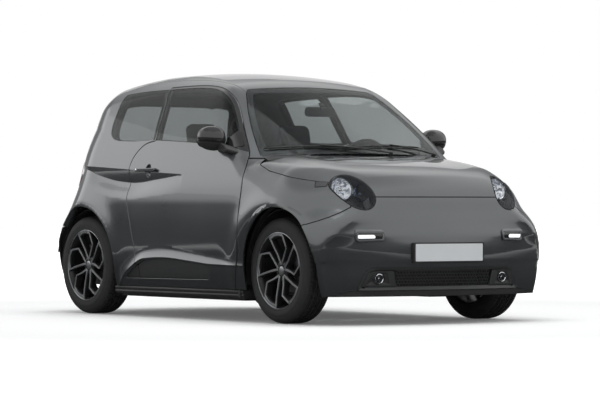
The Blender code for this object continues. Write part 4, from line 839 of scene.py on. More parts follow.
# front bumper: one roll round the nose
front = {"foot": 0.165, "step": 0.372, "stepIn": 0.006}
opening = [(0.6, 0.205, 0.02), (0.545, 0.325, 0.03), (0.5, 0.34, 0.03), (-0.5, 0.34, 0.03),
    (-0.545, 0.325, 0.03), (-0.6, 0.205, 0.02)]
wingFlat = aroundBack(wingFootSkin)
noseFlat = aroundBack(nose)
halfTop = flatPath([(0.8, front["foot"]), (0.8, 0.5)], wingFlat, aroundBack(lampMid))
frontZone = evenLine(flatPath(halfTop, noseFlat[::-1] if noseFlat[0, 0] > noseFlat[-1, 0] else noseFlat,
    mirrorS(halfTop, sFront)), pitch, True)
openingFlat = rolled("front", softLoop(opening, 0.03))


def frontRelief(p):
    depth = front["stepIn"] * ease((front["step"] - p[..., 2]) / 0.008)
    return depth - side["lip"] * (1 - ease((pastArch(p, "front") - side["lipWide"]) / 0.006))


stepLine = np.linspace(0.55, 2 * sFront - 0.55, 190)
frontLines = [(np.stack([stepLine, stepLine * 0 + front["step"] + extra], -1), False)
    for extra in (0.0008, -0.0088)]
frontLines += lipLines["front"] + [(mirrorS(line, sFront), True) for line, _ in lipLines["front"]]
plateFlat = rolled("front", [(0.25, 0.371), (0.25, 0.479), (-0.25, 0.479), (-0.25, 0.371)])
plateFlat = evenLine(plateFlat, 0.02, True)
lipFlat = rolled("front", evenLine([(-0.79, 0.1665), (-0.62, 0.2025), (0.62, 0.2025), (0.79, 0.1665)], pitch))
lipFlat = flatPath(lipFlat, [(lipFlat[-1, 0], 0.1), (lipFlat[0, 0], 0.1)])
dress(panel("frontLip", around, [grown(frontZone, -gaps["fixed"] / 2), grown(lipFlat, -0.0006)], near=0.004,
    deep=0.016, relief=frontRelief), "body", blackPlastic)
dress(panel("frontBumperSkin", around, [grown(frontZone, -gaps["fixed"] / 2)],
    [lipFlat, frontArchFlat, mirrorS(frontArchFlat, sFront), grown(lampFlat, 0.002),
    mirrorS(grown(lampFlat, 0.002), sFront), openingFlat, plateFlat], relief=frontRelief, lines=frontLines),
    "body", paint, replaces=("front_bumper",))

rearHalf = flatPath([(-1.15, 0.19), (-1.15, 0.48)],
    rolled("side", evenLine([(-1.2, 0.495), (-1.4, 0.556), (-1.55, 0.596)], pitch)), [(-1.75, 0.609)])
rearZone = evenLine(flatPath(rearHalf, mirrorS(rearHalf, sRear)), pitch, True)
dress(panel("rearBumperSkin", around, [grown(rearZone, -0.001)],
    [rearArchFlat, mirrorS(rearArchFlat, sRear)]), "body", paint, replaces=("rear_bumper",))
print("bumpers made")


# bench tools used for every fitting below
def pick(made):
    if bpy.context.mode != "OBJECT":
        bpy.ops.object.mode_set(mode="OBJECT")
    bpy.ops.object.select_all(action="DESELECT")
    made.select_set(True)
    bpy.context.view_layer.objects.active = made
    return made


def started(name, points, edges=(), faces=()):
    return pick(added(name, meshOf(name, [tuple(p) for p in points], edges, faces)))


# every face turned outwards
def outFacing(made):
    bpy.ops.object.mode_set(mode="EDIT")
    bpy.ops.mesh.select_all(action="SELECT")
    bpy.ops.mesh.normals_make_consistent(inside=False)
    bpy.ops.object.mode_set(mode="OBJECT")
    return made


def settled(made, angle=35):
    pick(made)
    bpy.ops.object.transform_apply(location=True, rotation=True, scale=True)
    bpy.ops.object.mode_set(mode="EDIT")
    bpy.ops.mesh.select_all(action="SELECT")
    bpy.ops.mesh.remove_doubles(threshold=0.00002)
    bpy.ops.mesh.normals_make_consistent(inside=False)
    bpy.ops.object.mode_set(mode="OBJECT")
    bpy.ops.object.shade_smooth_by_angle(angle=math.radians(angle))
    return made


def worked(made, kind, angle=35, **settings):
    pick(made)
    step = made.modifiers.new(kind.title(), kind)
    for key, value in settings.items():
        setattr(step, key, value)
    bpy.ops.object.modifier_apply(modifier=step.name)
    bpy.ops.object.shade_smooth_by_angle(angle=math.radians(angle))
    return made


# profile rows: radius, distance along the axis
def turned(name, profile, centre, axis, steps=64, closed=False, angle=35):
    axis = Vector(axis).normalized()
    across = axis.orthogonal().normalized()
    points = [Vector(centre) + across * r + axis * a for r, a in profile]
    edges = [(i, i + 1) for i in range(len(points) - 1)] + ([(len(points) - 1, 0)] if closed else [])
    made = started(name, points, edges)
    bpy.ops.object.mode_set(mode="EDIT")
    bpy.ops.mesh.select_all(action="SELECT")
    bpy.ops.mesh.spin(steps=steps, angle=2 * math.pi, center=centre, axis=axis, use_auto_merge=True)
    return settled(made, angle)


# flat outline pulled straight into a block, its edges eased
def slab(name, outline, run, bevel=0.0, segments=2, angle=35):
    made = started(name, outline, [], [list(range(len(outline)))])
    bpy.ops.object.mode_set(mode="EDIT")
    bpy.ops.mesh.select_all(action="SELECT")
    bpy.ops.mesh.extrude_region_move(TRANSFORM_OT_translate={"value": tuple(run)})
    settled(made, angle)
    if bevel:
        worked(made, "BEVEL", angle, width=bevel, segments=segments, limit_method="ANGLE",
            angle_limit=math.radians(30))
    return made


# round bar or band along a path
def piped(name, path, radius, closed=False, smooth=True, resolution=3):
    data = bpy.data.curves.new(name, "CURVE")
    data.dimensions, data.bevel_depth = "3D", radius
    data.bevel_resolution, data.use_fill_caps = resolution, not closed
    spline = data.splines.new("POLY")
    spline.points.add(len(path) - 1)
    for point, p in zip(spline.points, path):
        point.co = (*p, 1)
    spline.use_cyclic_u = closed
    pick(added(name, data))
    bpy.ops.object.convert(target="MESH")
    return settled(bpy.context.view_layer.objects.active, 40 if smooth else 20)


def joined(name, pieces):
    pick(pieces[0])
    for piece in pieces:
        piece.select_set(True)
    bpy.ops.object.join()
    made = bpy.context.view_layer.objects.active
    made.name = made.data.name = name
    return made


def copied(made, name, matrix):
    twin = added(name, made.data.copy())
    twin.data.name = name
    twin.data.transform(matrix)
    if matrix.determinant() < 0:
        twin.data.flip_normals()
    return twin


def rounded(width, height, corner, steps=5):
    rows = []
    for cx, cy, start in ((width / 2 - corner, height / 2 - corner, 0),
            (-width / 2 + corner, height / 2 - corner, 90), (-width / 2 + corner, -height / 2 + corner, 180),
            (width / 2 - corner, -height / 2 + corner, 270)):
        for k in range(steps + 1):
            a = math.radians(start + 90 * k / steps)
            rows.append((cx + corner * math.cos(a), cy + corner * math.sin(a)))
    return rows


# wheels: one is made at the origin with its outer face towards -Y, then copied to the four hubs
wheel = {"face": 0.0735, "line": 0.0094, "arm": 0.019, "armDeep": 0.04, "tyreRadius": 0.3154,
    "tyreHalf": 0.099, "ribs": 72, "grooveDeep": 0.007, "rolled": 7}


def polar(rows, turn=0.0):
    return [(r * math.cos(math.radians(a + turn)), r * math.sin(math.radians(a + turn))) for r, a in rows]


def ribbon(path, widths):
    path = np.array(path)
    go = np.gradient(path, axis=0)
    go /= np.linalg.norm(go, axis=1)[:, None]
    sideways = np.stack([-go[:, 1], go[:, 0]], 1) * np.array(widths)[:, None] / 2
    return np.concatenate([path + sideways, (path - sideways)[::-1]])


def facing(outline, offset):
    return [(x, -offset, z) for x, z in outline]


def arc(r, first, last, count):
    return [(r, first + (last - first) * k / count) for k in range(count + 1)]


# an arm's middle line as (radius, angle in degrees)
straightArm = [(0.036, -112), (0.1, -99), (0.16, -94.5), (0.2235, -92)]
bentArm = [(0.036, -122), (0.092, -139), (0.15, -145), (0.207, -128.5), (0.2235, -121)]
faces, arms, spokeTop = [], [], wheel["face"] - 0.004
for k in range(5):
    turn = -72 * k
    for number, rows in enumerate((straightArm, bentArm)):
        path = polar(rows, turn)
        wide = [wheel["line"] * (1.15 if i else 1.5) for i in range(len(path))]
        deepWide = [wheel["arm"] * (1.0 if i else 1.3) for i in range(len(path))]
        faces.append(slab(f"faceLine{k}{number}", facing(ribbon(path, wide), spokeTop),
            (0, -0.004, 0), 0.0009, 1))
        arms.append(slab(f"arm{k}{number}", facing(ribbon(path, deepWide), spokeTop - wheel["armDeep"]),
            (0, -wheel["armDeep"], 0), 0.005, 2))
    shoe = polar(arc(0.226, -126.5, -91, 8) + arc(0.2045, -91, -99, 2) + arc(0.209, -104, -118, 3)
        + arc(0.2045, -122, -128.5, 2), turn)
    faces.append(slab(f"shoe{k}", facing(shoe, spokeTop), (0, -0.0042, 0), 0.0012, 1))
    heel = polar(arc(0.224, -128, -90, 8) + arc(0.201, -90, -130, 6), turn)
    arms.append(slab(f"heel{k}", facing(heel, wheel["face"] - 0.032), (0, -0.028, 0), 0.003, 1))
    bolt = polar([(0.043, -82)], turn)[0]
    hexagon = [(bolt[0] + x, bolt[1] + z) for x, z in polar([(0.0085, 60 * i) for i in range(6)])]
    faces.append(withLook(slab(f"bolt{k}", facing(hexagon, 0.052), (0, -0.01, 0), 0.0012, 1), steel))
    well = [(0.0, 0.05), (0.0125, 0.05), (0.0135, 0.0645), (0.016, 0.0652), (0.0165, 0.06)]
    arms.append(turned(f"well{k}", well, (bolt[0], 0, bolt[1]), (0, -1, 0), 20))
# the spokes dish outwards to the rim
for made in faces + arms:
    for vertex in made.data.vertices:
        vertex.co.y -= 0.016 * float(ease((math.hypot(vertex.co.x, vertex.co.z) - 0.045) / 0.165))


def wheelTurned(name, profile, steps, **more):
    return turned(name, profile, (0, 0, 0), (0, -1, 0), steps, **more)


lip = wheelTurned("lip", [(0.2287, 0.0862), (0.2287, 0.0938), (0.2276, 0.0945), (0.225, 0.0945),
    (0.2236, 0.093), (0.2232, 0.088)], 96)
cap = wheelTurned("cap", [(0.0, 0.076), (0.012, 0.0757), (0.021, 0.0742), (0.0262, 0.0722), (0.027, 0.068),
    (0.027, 0.06)], 48)
hub = wheelTurned("hub", [(0.0262, 0.062), (0.0262, 0.0705), (0.034, 0.0712), (0.046, 0.07), (0.058, 0.0655),
    (0.062, 0.058), (0.062, 0.02), (0.05, 0.012), (0.05, 0.004)], 64)
barrel = wheelTurned("barrel", [(0.2287, 0.0864), (0.2232, 0.0884), (0.2205, 0.082), (0.2135, 0.07),
    (0.208, 0.05), (0.205, 0.0), (0.209, -0.07), (0.213, -0.089), (0.224, -0.0945), (0.2287, -0.0945),
    (0.2287, -0.0865), (0.2185, -0.08), (0.212, -0.05), (0.2095, 0.03), (0.213, 0.056), (0.218, 0.076),
    (0.2287, 0.08)], 96, closed=True)
disc = wheelTurned("disc", [(0.045, 0.012), (0.066, 0.012), (0.069, 0.001), (0.1275, 0.001), (0.128, 0.0),
    (0.128, -0.004), (0.1265, -0.004), (0.1265, -0.0075), (0.128, -0.0075), (0.128, -0.0115),
    (0.1275, -0.012), (0.06, -0.012), (0.048, -0.036), (0.034, -0.036)], 72)
for made in faces:
    if not made.data.materials:
        withLook(made, alloyBright)
for made in arms:
    withLook(made, alloyDark)
for made, look in ((lip, alloyBright), (cap, alloyCap), (hub, alloyDark), (barrel, alloyDark), (disc, steel)):
    withLook(made, look)
wheelMaster = joined("wheelMaster", [lip, cap, hub, barrel, disc] + faces + arms)
caliper = [(0.088, 40), (0.088, 72), (0.101, 82), (0.142, 78), (0.149, 66), (0.149, 30), (0.142, 18),
    (0.101, 14), (0.088, 24)]
caliperMaster = withLook(slab("caliperMaster", facing(polar(caliper), -0.034), (0, -0.062, 0), 0.006, 2),
    caliperGrey)
print("wheel modelled")

# tyre section from the bead round the tread: radius, distance outboard; then a row for each turn
half, top = wheel["tyreHalf"], wheel["tyreRadius"]
section = [(0.2292, half - 0.003), (0.233, half - 0.0014), (0.2375, half - 0.0022), (0.241, half - 0.0012),
    (0.252, half - 0.0002), (0.261, half), (0.27, half - 0.0006), (0.2715, half - 0.0016),
    (0.28, half - 0.003), (0.287, half - 0.0052), (0.2935, half - 0.0085), (0.299, half - 0.0125),
    (0.304, half - 0.017), (0.3085, half - 0.0225), (0.3118, half - 0.029)]
groove = wheel["grooveDeep"]
for edge in (0.056, 0.044, 0.024, 0.012):
    section += [(top - 0.0006 - 0.9 * max(edge - 0.03, 0) ** 2, edge + 0.001), (top - groove, edge),
        (top - groove, edge - 0.0055), (top - 0.0004, edge - 0.0065)]
    section.append((top - 0.0002, edge - 0.0095))
section = section + [(r, -a) for r, a in section[::-1]] + [(0.2292, -half + 0.012), (0.29, -0.078),
    (0.297, 0.0), (0.29, 0.078), (0.2292, half - 0.012)]
turns = wheel["ribs"] * 4
rows = len(section)
angles = np.arange(turns) * 2 * math.pi / turns
radius, across = np.array([r for r, _ in section]), np.array([a for _, a in section])
tread = (np.abs(across) < half - 0.012) & (radius > 0.3035) & (np.arange(rows) < rows - 5)
block = tread & (radius >= top - groove + 0.0005)
phase = (np.arange(turns) % 4)[:, None]
sipes = ((phase == 0) & block & (np.abs(across) > 0.03)) | ((phase == 2) & block & (np.abs(across) < 0.03))
ring = radius[None, :] - np.where(sipes, 0.0045, 0.0)
sweep = angles[:, None] + np.where(tread, across * 0.35, 0)[None, :]
x, z = ring * np.cos(sweep), ring * np.sin(sweep)
grid = np.stack([x, np.broadcast_to(-across, x.shape), z], -1).reshape(-1, 3)
quads = [(i * rows + j, i * rows + (j + 1) % rows, (i + 1) % turns * rows + (j + 1) % rows,
    (i + 1) % turns * rows + j) for i in range(turns) for j in range(rows)]
tyreMaster = withLook(settled(started("tyreMaster", grid, [], quads), 30), rubber)
print("tyre modelled")
for name, outSide in (("fl", 1), ("fr", -1), ("rl", 1), ("rr", -1)):
    at = Matrix.Translation(middle(f"tyre_{name}"))
    rollTurn = Matrix.Rotation(math.radians(wheel["rolled"]), 4, "Y")
    place = at @ (Matrix.Rotation(math.pi, 4, "Z") if outSide > 0 else Matrix.Identity(4)) @ rollTurn
    fitted(copied(wheelMaster, f"wheelRim_{name}", place), f"wheel_{name}", (f"wheel_{name}",))
    fitted(copied(tyreMaster, f"tyreTread_{name}", place), f"wheel_{name}", (f"tyre_{name}",))
    still = at @ mirroring[-outSide]
    if name[0] == "r":
        still = still @ Matrix.Scale(-1, 4, (1, 0, 0))
    fitted(copied(caliperMaster, f"caliper_{name}", still),
        {"fl": "knuckle_left", "fr": "knuckle_right"}.get(name, "body"))
dropped(wheelMaster, caliperMaster, tyreMaster)
print("wheels fitted")

# headlamps: lens and seal follow the skin, the bowl and both reflectors sit behind them
lamp = {"seal": 0.0045, "lensDeep": 0.0034, "facing": (0.93, 0.09, 0.3), "main": (1.3955, 0.582, 0.803,
    0.069), "second": (1.456, 0.472, 0.78, 0.05), "clear": 0.0075, "bowlDeep": 0.085}
lampAxis = Vector(lamp["facing"]).normalized()
axisRow = np.array(lampAxis)
lampRight = np.cross(axisRow, (0, 0, 1))
lampRight /= np.linalg.norm(lampRight)
lampOver = np.cross(lampRight, axisRow)
lampFanFlat = lampFan[1](lampSkin)
lampIn = lampFan[0](*grown(lampFanFlat, -lamp["seal"]).T)


# a round piece's centre, drawn back until its rim clears the lens
def seated(x, y, z, radius):
    centre = np.array((x, y, z), float)
    turn = np.linspace(0, 2 * math.pi, 24)[:, None]
    ring = (lampRight * np.cos(turn) + lampOver * np.sin(turn)) * radius
    while body(*(centre + ring).T).max() > -lamp["clear"]:
        centre = centre - axisRow * 0.002
    return centre


def lampBowl():
    inner = lampIn - outward(lampIn) * 0.0042
    mid = inner.mean(0)
    n = lampNormal
    rings = [inner]
    for shrink, drop in ((0.99, 0.012), (0.95, 0.035), (0.88, 0.06), (0.74, 0.078), (0.4, 0.085)):
        flatDrop = ((inner - mid) @ n)[:, None] * n
        rings.append(mid + (inner - mid - flatDrop * min(1, drop / 0.06)) * shrink - n * drop)
    count = len(inner)
    points = np.concatenate(rings + [(mid - n * lamp["bowlDeep"])[None]])
    quads = [(r * count + i, r * count + (i + 1) % count, (r + 1) * count + (i + 1) % count, (r + 1) * count
        + i) for r in range(len(rings) - 1) for i in range(count)]
    last = (len(rings) - 1) * count
    quads += [(last + i, last + (i + 1) % count, len(points) - 1) for i in range(count)]
    made = settled(started("lampBowl", points, [], quads), 50)
    return withLook(worked(made, "SOLIDIFY", 50, thickness=0.002, offset=-1), lampDark)


def lampTurned(name, profile, at, steps, look, closed=False):
    return withLook(turned(name, profile, at, lampAxis, steps, closed=closed), look)


lampPieces = [lampBowl()]
mainAt, secondAt = seated(*lamp["main"]), seated(*lamp["second"])
r = lamp["main"][3]
lampPieces.append(lampTurned("lampTube", [(r - 0.001, 0.0), (r + 0.001, 0.0022), (r + 0.0036, 0.0008),
    (r + 0.004, -0.006), (r + 0.0032, -0.055), (r - 0.006, -0.055), (r - 0.0014, -0.004)], mainAt, 72,
    lampDark, True))
lampPieces.append(lampTurned("lampRing", [(r + 0.0042, -0.0004), (r + 0.0056, 0.0008), (r + 0.007, -0.0006),
    (r + 0.007, -0.004), (r + 0.0042, -0.004)], mainAt, 72, chrome, True))
# cut reflector: flat facets in five rows, each row turned half a facet, with a faint painted glow standing in
# for what its chrome reflects
rows = [(r - 0.0016, -0.0015), (r - 0.01, -0.012), (r - 0.022, -0.022), (r - 0.036, -0.03), (0.02, -0.036)]
points, quads, facets = [], [], 18
for row, (radius, depth) in enumerate(rows):
    for k in range(facets):
        turn = 2 * math.pi * (k + 0.5 * (row % 2)) / facets
        bump = 0.0035 * (-1) ** k if 0 < row < 4 else 0
        points.append(mainAt + (lampRight * math.cos(turn) + lampOver * math.sin(turn)) * radius
            + axisRow * (depth + bump))
for row in range(len(rows) - 1):
    for k in range(facets):
        q = [row * facets + k, row * facets + (k + 1) % facets, (row + 1) * facets + (k + 1) % facets,
            (row + 1) * facets + k]
        quads += [(q[0], q[1], q[3]), (q[1], q[2], q[3])] if row % 2 else [(q[0], q[1], q[2]),
            (q[0], q[2], q[3])]
made = outFacing(started("lampFacets", points, [], quads))
lampPieces.append(withLook(worked(made, "SOLIDIFY", 1, thickness=0.0012, offset=-1), reflectorPaintedGlow))
lampPieces.append(lampTurned("lampBulb", [(0.0, -0.012), (0.008, -0.0135), (0.0135, -0.019), (0.015, -0.026),
    (0.0205, -0.033), (0.0215, -0.038), (0.0, -0.039)], mainAt, 32, chrome))
r = lamp["second"][3]
lampPieces.append(lampTurned("lampBowl2", [(r, 0.0), (r + 0.0028, 0.0012), (r + 0.004, -0.003),
    (r + 0.002, -0.03), (0.026, -0.052), (0.0, -0.056), (0.0, -0.05), (0.016, -0.047), (0.034, -0.034),
    (0.044, -0.018), (r - 0.0015, -0.004)], secondAt, 64, blueBowl))
lampPieces.append(lampTurned("lampBulb2", [(0.0, -0.026), (0.006, -0.027), (0.0095, -0.032), (0.0095, -0.046),
    (0.013, -0.05), (0.0, -0.051)], secondAt, 24, chrome))
# short ribs in the lamp's lower nose
for k in range(5):
    spot, up = lampCentre + lampAlong * (0.088 + 0.0095 * k) + lampAcross * (-0.008 + 0.006 * k), lampNormal
    topAt = hit(spot - up * 0.1, up) - up * 0.016
    wide, thin = lampAcross * 0.026, lampAlong * 0.0016
    rib = slab(f"lampRib{k}", [topAt + wide - thin, topAt + wide + thin, topAt - wide + thin,
        topAt - wide - thin], -up * 0.035, 0.0006, 1)
    lampPieces.append(withLook(rib, lampSatin))
lampMaster = joined("lampMaster", lampPieces)
for way, word in sides:
    fitted(copied(lampMaster, f"lampInside_{word}", mirroring[way]), "body", (f"headlamp_{word}",))
    made = panel(f"lampSeal_{word}", lampFan, [grown(lampFanFlat, -0.0005)],
        [grown(lampFanFlat, -lamp["seal"])], near=0.0012, deep=0.024, rim=0.0008, side=way)
    dress(made, "body", rubber)
    made = panel(f"lampLens_{word}", lampFan, [grown(lampFanFlat, -lamp["seal"] - 0.0003)], near=0.0004,
        deep=lamp["lensDeep"], rim=0.0012, side=way)
    dress(made, "body", lampGlass)
dropped(lampMaster)
print("headlamps made")

# small side lamp behind each headlamp
marker = [(1.3, 0.845, 0.006), (1.372, 0.842, 0.01), (1.386, 0.812, 0.008), (1.33, 0.806, 0.008)]
markerFlat = rolled("side", softLoop(marker, 0.006, 0.005))
paired("markerFrame", "body", "black_gloss", blackGloss, [markerFlat], step=0.01, near=-0.001,
    deep=0.003, rim=0.0012)
paired("markerLens", "body", "lamp", lampDark, [grown(markerFlat, -0.0045)], step=0.01, near=-0.002,
    deep=0.0005, rim=0.001)

# day lights in raised housings
dayLight = [(0.44, 0.494, 0.012), (0.606, 0.486, 0.012), (0.623, 0.5, 0.008), (0.621, 0.562, 0.01),
    (0.6, 0.57, 0.012), (0.45, 0.562, 0.012), (0.436, 0.548, 0.008)]
dayGlow = [(0.5, 0.509, 0.008), (0.604, 0.508, 0.008), (0.61, 0.53, 0.008), (0.505, 0.5305, 0.009),
    (0.496, 0.52, 0.006)]
dayInner = [(0.446, 0.503, 0.01), (0.604, 0.497, 0.01), (0.616, 0.508, 0.006), (0.614, 0.54, 0.008),
    (0.6, 0.5455, 0.01), (0.452, 0.5435, 0.01), (0.442, 0.53, 0.008)]
dayFlat, glowFlat, innerFlat = (rolled("front", softLoop(rows, 0.01, 0.007))
    for rows in (dayLight, dayGlow, dayInner))


def dayRelief(p):
    return 0.0085 * ease((p[..., 2] - 0.546) / 0.02)


paired("dayHousing", "body", "paint", paint, [dayFlat], [innerFlat], step=0.008, near=-0.0088, deep=0.006,
    rim=0.0022, relief=dayRelief)
paired("dayFrame", "body", "alloy", lampSatin, [grown(innerFlat, -0.0002)], [grown(innerFlat, -0.004)],
    step=0.008, near=-0.0078, deep=0.006, rim=0.001)
paired("dayCell", "body", "black_gloss", blackGloss, [grown(innerFlat, -0.0042)], [glowFlat], step=0.008,
    near=-0.004, deep=0.007, rim=0.0008)
paired("dayLight", "body", "lamp", dayWhite, [grown(glowFlat, -0.0004)], step=0.008, near=-0.0058,
    deep=0.006, rim=0.0016)
print("day lights made")

# lower opening: sloped surround, pods with fog lamps, honeycomb between them
mouth = {"slopeWide": 0.02, "slopeDeep": 0.018, "meshDeep": 0.021, "cell": 0.0121, "wall": 0.0032,
    "wallDeep": 0.008}


# a relief that deepens away from an outline
def slopeFrom(loop, deep, wide):
    def slope(p):
        flat = aroundBack(p.reshape(-1, 3))
        return (deep * np.clip(nearLine(flat, loop) / wide, 0, 1)).reshape(p.shape[:-1])

    return slope


dress(panel("mouthSurround", around, [grown(openingFlat, -0.0006)], [grown(openingFlat, -mouth["slopeWide"])],
    step=0.01, near=0.001, deep=0.02, rim=0.001, relief=slopeFrom(openingFlat, mouth["slopeDeep"],
    mouth["slopeWide"])), "body", darkInsert)
dress(panel("mouthBack", around, [grown(openingFlat, -0.004)], step=0.03, near=0.036, deep=0.042), "body",
    blackPlastic, replaces=("front_grille",))
pod = [(0.352, 0.2255, 0.006), (0.372, 0.3165, 0.008), (0.505, 0.3165, 0.016), (0.53, 0.299, 0.014),
    (0.566, 0.2255, 0.01)]
podInner = [(0.398, 0.238, 0.008), (0.412, 0.308, 0.01), (0.495, 0.308, 0.016), (0.514, 0.292, 0.012),
    (0.54, 0.238, 0.01)]
podFlat, podInnerFlat = (rolled("front", softLoop(rows, 0.01, 0.008)) for rows in (pod, podInner))
fogSpot, fogRadius = (0.458, 0.2725), 0.0285
fogFlat = rolled("front", oval(fogSpot, fogRadius + 0.004, fogRadius + 0.004, 36))

paired("podFrame", "body", "black_plastic", darkInsert, [podFlat], [podInnerFlat], step=0.01, near=0.0135,
    deep=0.03, rim=0.0018)
paired("podPlate", "body", "black_plastic", blackPlastic, [grown(podInnerFlat, -0.0002)], [fogFlat],
    step=0.01, near=0.015, deep=0.03, rim=0.0008, relief=slopeFrom(podInnerFlat, 0.008, 0.01))
fogAt = Vector(onSkin("front", [fogSpot])[0]) - Vector((0.02, 0, 0))
fogMaster = joined("fogMaster",
    [withLook(turned("fogRing", [(fogRadius - 0.0045, 0.004), (fogRadius - 0.002, 0.0065),
    (fogRadius + 0.0015, 0.006), (fogRadius + 0.003, 0.003), (fogRadius + 0.003, -0.02),
    (fogRadius - 0.0045, -0.02)], fogAt, (1, 0, 0), 48, closed=True), chrome),
    withLook(turned("fogBowl", [(fogRadius - 0.0048, 0.001), (0.016, -0.01), (0.0, -0.014), (0.0, -0.018),
    (0.018, -0.014), (fogRadius - 0.0048, -0.004)], fogAt, (1, 0, 0), 40), lampDark),
    withLook(turned("fogBulb", [(0.0, 0.0005), (0.007, -0.0015), (0.0095, -0.006), (0.0095, -0.012),
    (0.0, -0.0125)], fogAt, (1, 0, 0), 24), chrome),
    withLook(turned("fogLens", [(0.0, 0.0045), (0.012, 0.004), (fogRadius - 0.005, 0.002),
    (fogRadius - 0.005, 0.0005), (0.012, 0.0022), (0.0, 0.0027)], fogAt, (1, 0, 0), 40), lampGlass)])
for way, word in sides:
    fitted(copied(fogMaster, f"fogLamp_{word}", Matrix.Translation((slide, 0, 0)) @ mirroring[way]),
        "body")
dropped(fogMaster)

# honeycomb: one thin wall for each side of each cell, then laid on the nose
cell = mouth["cell"]
walls = {}
for row in range(-4, 5):
    for column in range(-20, 21):
        cy, cz = (column + 0.5 * (row % 2)) * cell * math.sqrt(3), 0.272 + row * cell * 1.5
        corners = [(round(cy + cell * math.cos(math.radians(30 + 60 * k)), 5),
            round(cz + cell * math.sin(math.radians(30 + 60 * k)), 5)) for k in range(6)]
        if all(abs(y) < 0.345 + 0.18 * (z - 0.225) and 0.22 < z < 0.324 for y, z in corners):
            for k in range(6):
                walls[tuple(sorted((corners[k], corners[(k + 1) % 6])))] = True
points, quads = [], []
for (y0, z0), (y1, z1) in walls:
    run = np.array([y1 - y0, z1 - z0])
    across = np.array([-run[1], run[0]]) / np.linalg.norm(run) * mouth["wall"] / 2
    first = len(points)
    for deep in (mouth["meshDeep"], mouth["meshDeep"] + mouth["wallDeep"]):
        points += [(*(np.array([y0, z0]) + across), deep), (*(np.array([y1, z1]) + across), deep),
            (*(np.array([y1, z1]) - across), deep), (*(np.array([y0, z0]) - across), deep)]
    quads += [tuple(first + i for i in f) for f in ((0, 1, 2, 3), (7, 6, 5, 4), (0, 4, 5, 1), (1, 5, 6, 2),
        (2, 6, 7, 3), (3, 7, 4, 0))]
points = np.array(points)
laid = onSkin("front", points[:, :2])
laid[:, 0] -= points[:, 2]
laid[:, 0] += slide
made = outFacing(started("mouthMesh", laid, [], quads))
fitted(withLook(made, darkInsert), "body")
print("lower opening made", len(walls), "mesh walls")

# number plates and their holders
plate = {"wide": 0.524, "tall": 0.118, "edge": 0.006, "front": cadBounds[1][0], "rear": cadBounds[0][0],
    "mid": 0.425}
outline = rounded(plate["wide"], plate["tall"], 0.006)
inner = rounded(plate["wide"] - 4 * plate["edge"], plate["tall"] - 2.6 * plate["edge"], 0.005)
for word, at, out in (("front", plate["front"], 1), ("rear", plate["rear"], -1)):
    holder = slab(f"holder_{word}", [(at - 0.0012 * out, y, z + plate["mid"]) for y, z in outline],
        (-0.026 * out, 0, 0), 0.0015, 2)
    face = slab(f"blank_{word}", [(at - 0.0002 * out, y, z + plate["mid"]) for y, z in inner],
        (-0.002 * out, 0, 0), 0.0006, 1)
    withLook(holder, blackPlastic)
    withLook(face, plateGrey)
    fitted(joined(f"plate_{word}", [holder, face]), "body")
print("plates made")

# dark insert under each side's ridge, split at the door's shut line
paired("insertDoor", "door", "black_plastic", darkInsert,
    [grown(insertFlat, -0.0004), grown(doorSkin, -gaps["door"] / 2)], step=0.02, near=0.011, deep=0.0158)
paired("insertBody", "body", "black_plastic", darkInsert, [grown(insertFlat, -0.0004)],
    [grown(doorSkin, gaps["door"] / 2)], step=0.02, near=0.011, deep=0.0158)
print("side inserts made")

# sills: one moulding along each side
sill = {"rear": -0.735, "front": 0.724}
sillSection = [(0.742, 0.15), (0.806, 0.142), (0.82, 0.1455), (0.8285, 0.153), (0.831, 0.16), (0.8265, 0.165),
    (0.8255, 0.169), (0.83, 0.174), (0.832, 0.183), (0.829, 0.1905), (0.818, 0.193), (0.742, 0.193)]
for way, word in sides:
    made = slab(f"sill_{word}", [(sill["rear"], y * way, z) for y, z in sillSection],
        (sill["front"] - sill["rear"], 0, 0), 0.0015, 2, 60)
    fitted(withLook(made, blackPlastic), "body")

# door handles: bar on two feet over a dished bowl
handle = {"centre": (-0.367, 0.926), "length": 0.232, "height": 0.0255, "out": 0.8525, "thick": 0.0135}


def bowlRelief(p):
    dx, dz = (p[..., 0] - bowlAt[0]) / bowlSize[0], (p[..., 2] - bowlAt[1]) / bowlSize[1]
    return 0.02 * np.sqrt(np.clip(1 - dx * dx - dz * dz, 0, 1)) + sideRelief(p)


for way, word in sides:
    dress(panel(f"handleBowl_{word}", around, [grown(bowlFlat, -0.0002)], step=0.006, near=0.0004, deep=0.003,
        rim=0.0006, relief=bowlRelief, side=way), f"door_{word}", paint)
    cx, cz = handle["centre"]
    bar = slab(f"handleBar_{word}", [(cx + x, handle["out"] * way, cz + z)
        for x, z in rounded(handle["length"], handle["height"], 0.0122, 6)], (0, -handle["thick"] * way, 0),
        0.005, 4, 60)
    for vertex in bar.data.vertices:  # the bar bows along the door and thins to its ends
        u = (vertex.co.x - cx) / (handle["length"] / 2)
        vertex.co.y -= 0.0065 * u * u * way
        vertex.co.z = cz + (vertex.co.z - cz) * (1 - 0.22 * u * u)
    feet = [withLook(slab(f"handleFoot{k}_{word}", [(cx + at + x, (handle["out"] - 0.01) * way, cz + z)
        for x, z in rounded(0.04, 0.018, 0.008)], (0, -0.03 * way, 0), 0.003, 2), paint)
        for k, at in enumerate((-0.088, 0.09))]
    lock = withLook(turned(f"handleLock_{word}", [(0.0, 0.0012), (0.0075, 0.001), (0.009, 0.0),
        (0.009, -0.008)], (cx - 0.098, (handle["out"] - 0.0055) * way, cz), (0, way, 0), 24), chrome)
    fitted(joined(f"doorHandle_{word}", [withLook(bar, paint), lock] + feet), f"door_{word}")
print("handles made")

# outside mirrors: capped housing, seam, silvered glass, sail and foot on the door
mirror = {"at": (0.408, 0.853, 1.112), "half": (0.074, 0.085, 0.0745), "power": 0.84, "seamZ": -0.34,
    "back": -0.8}


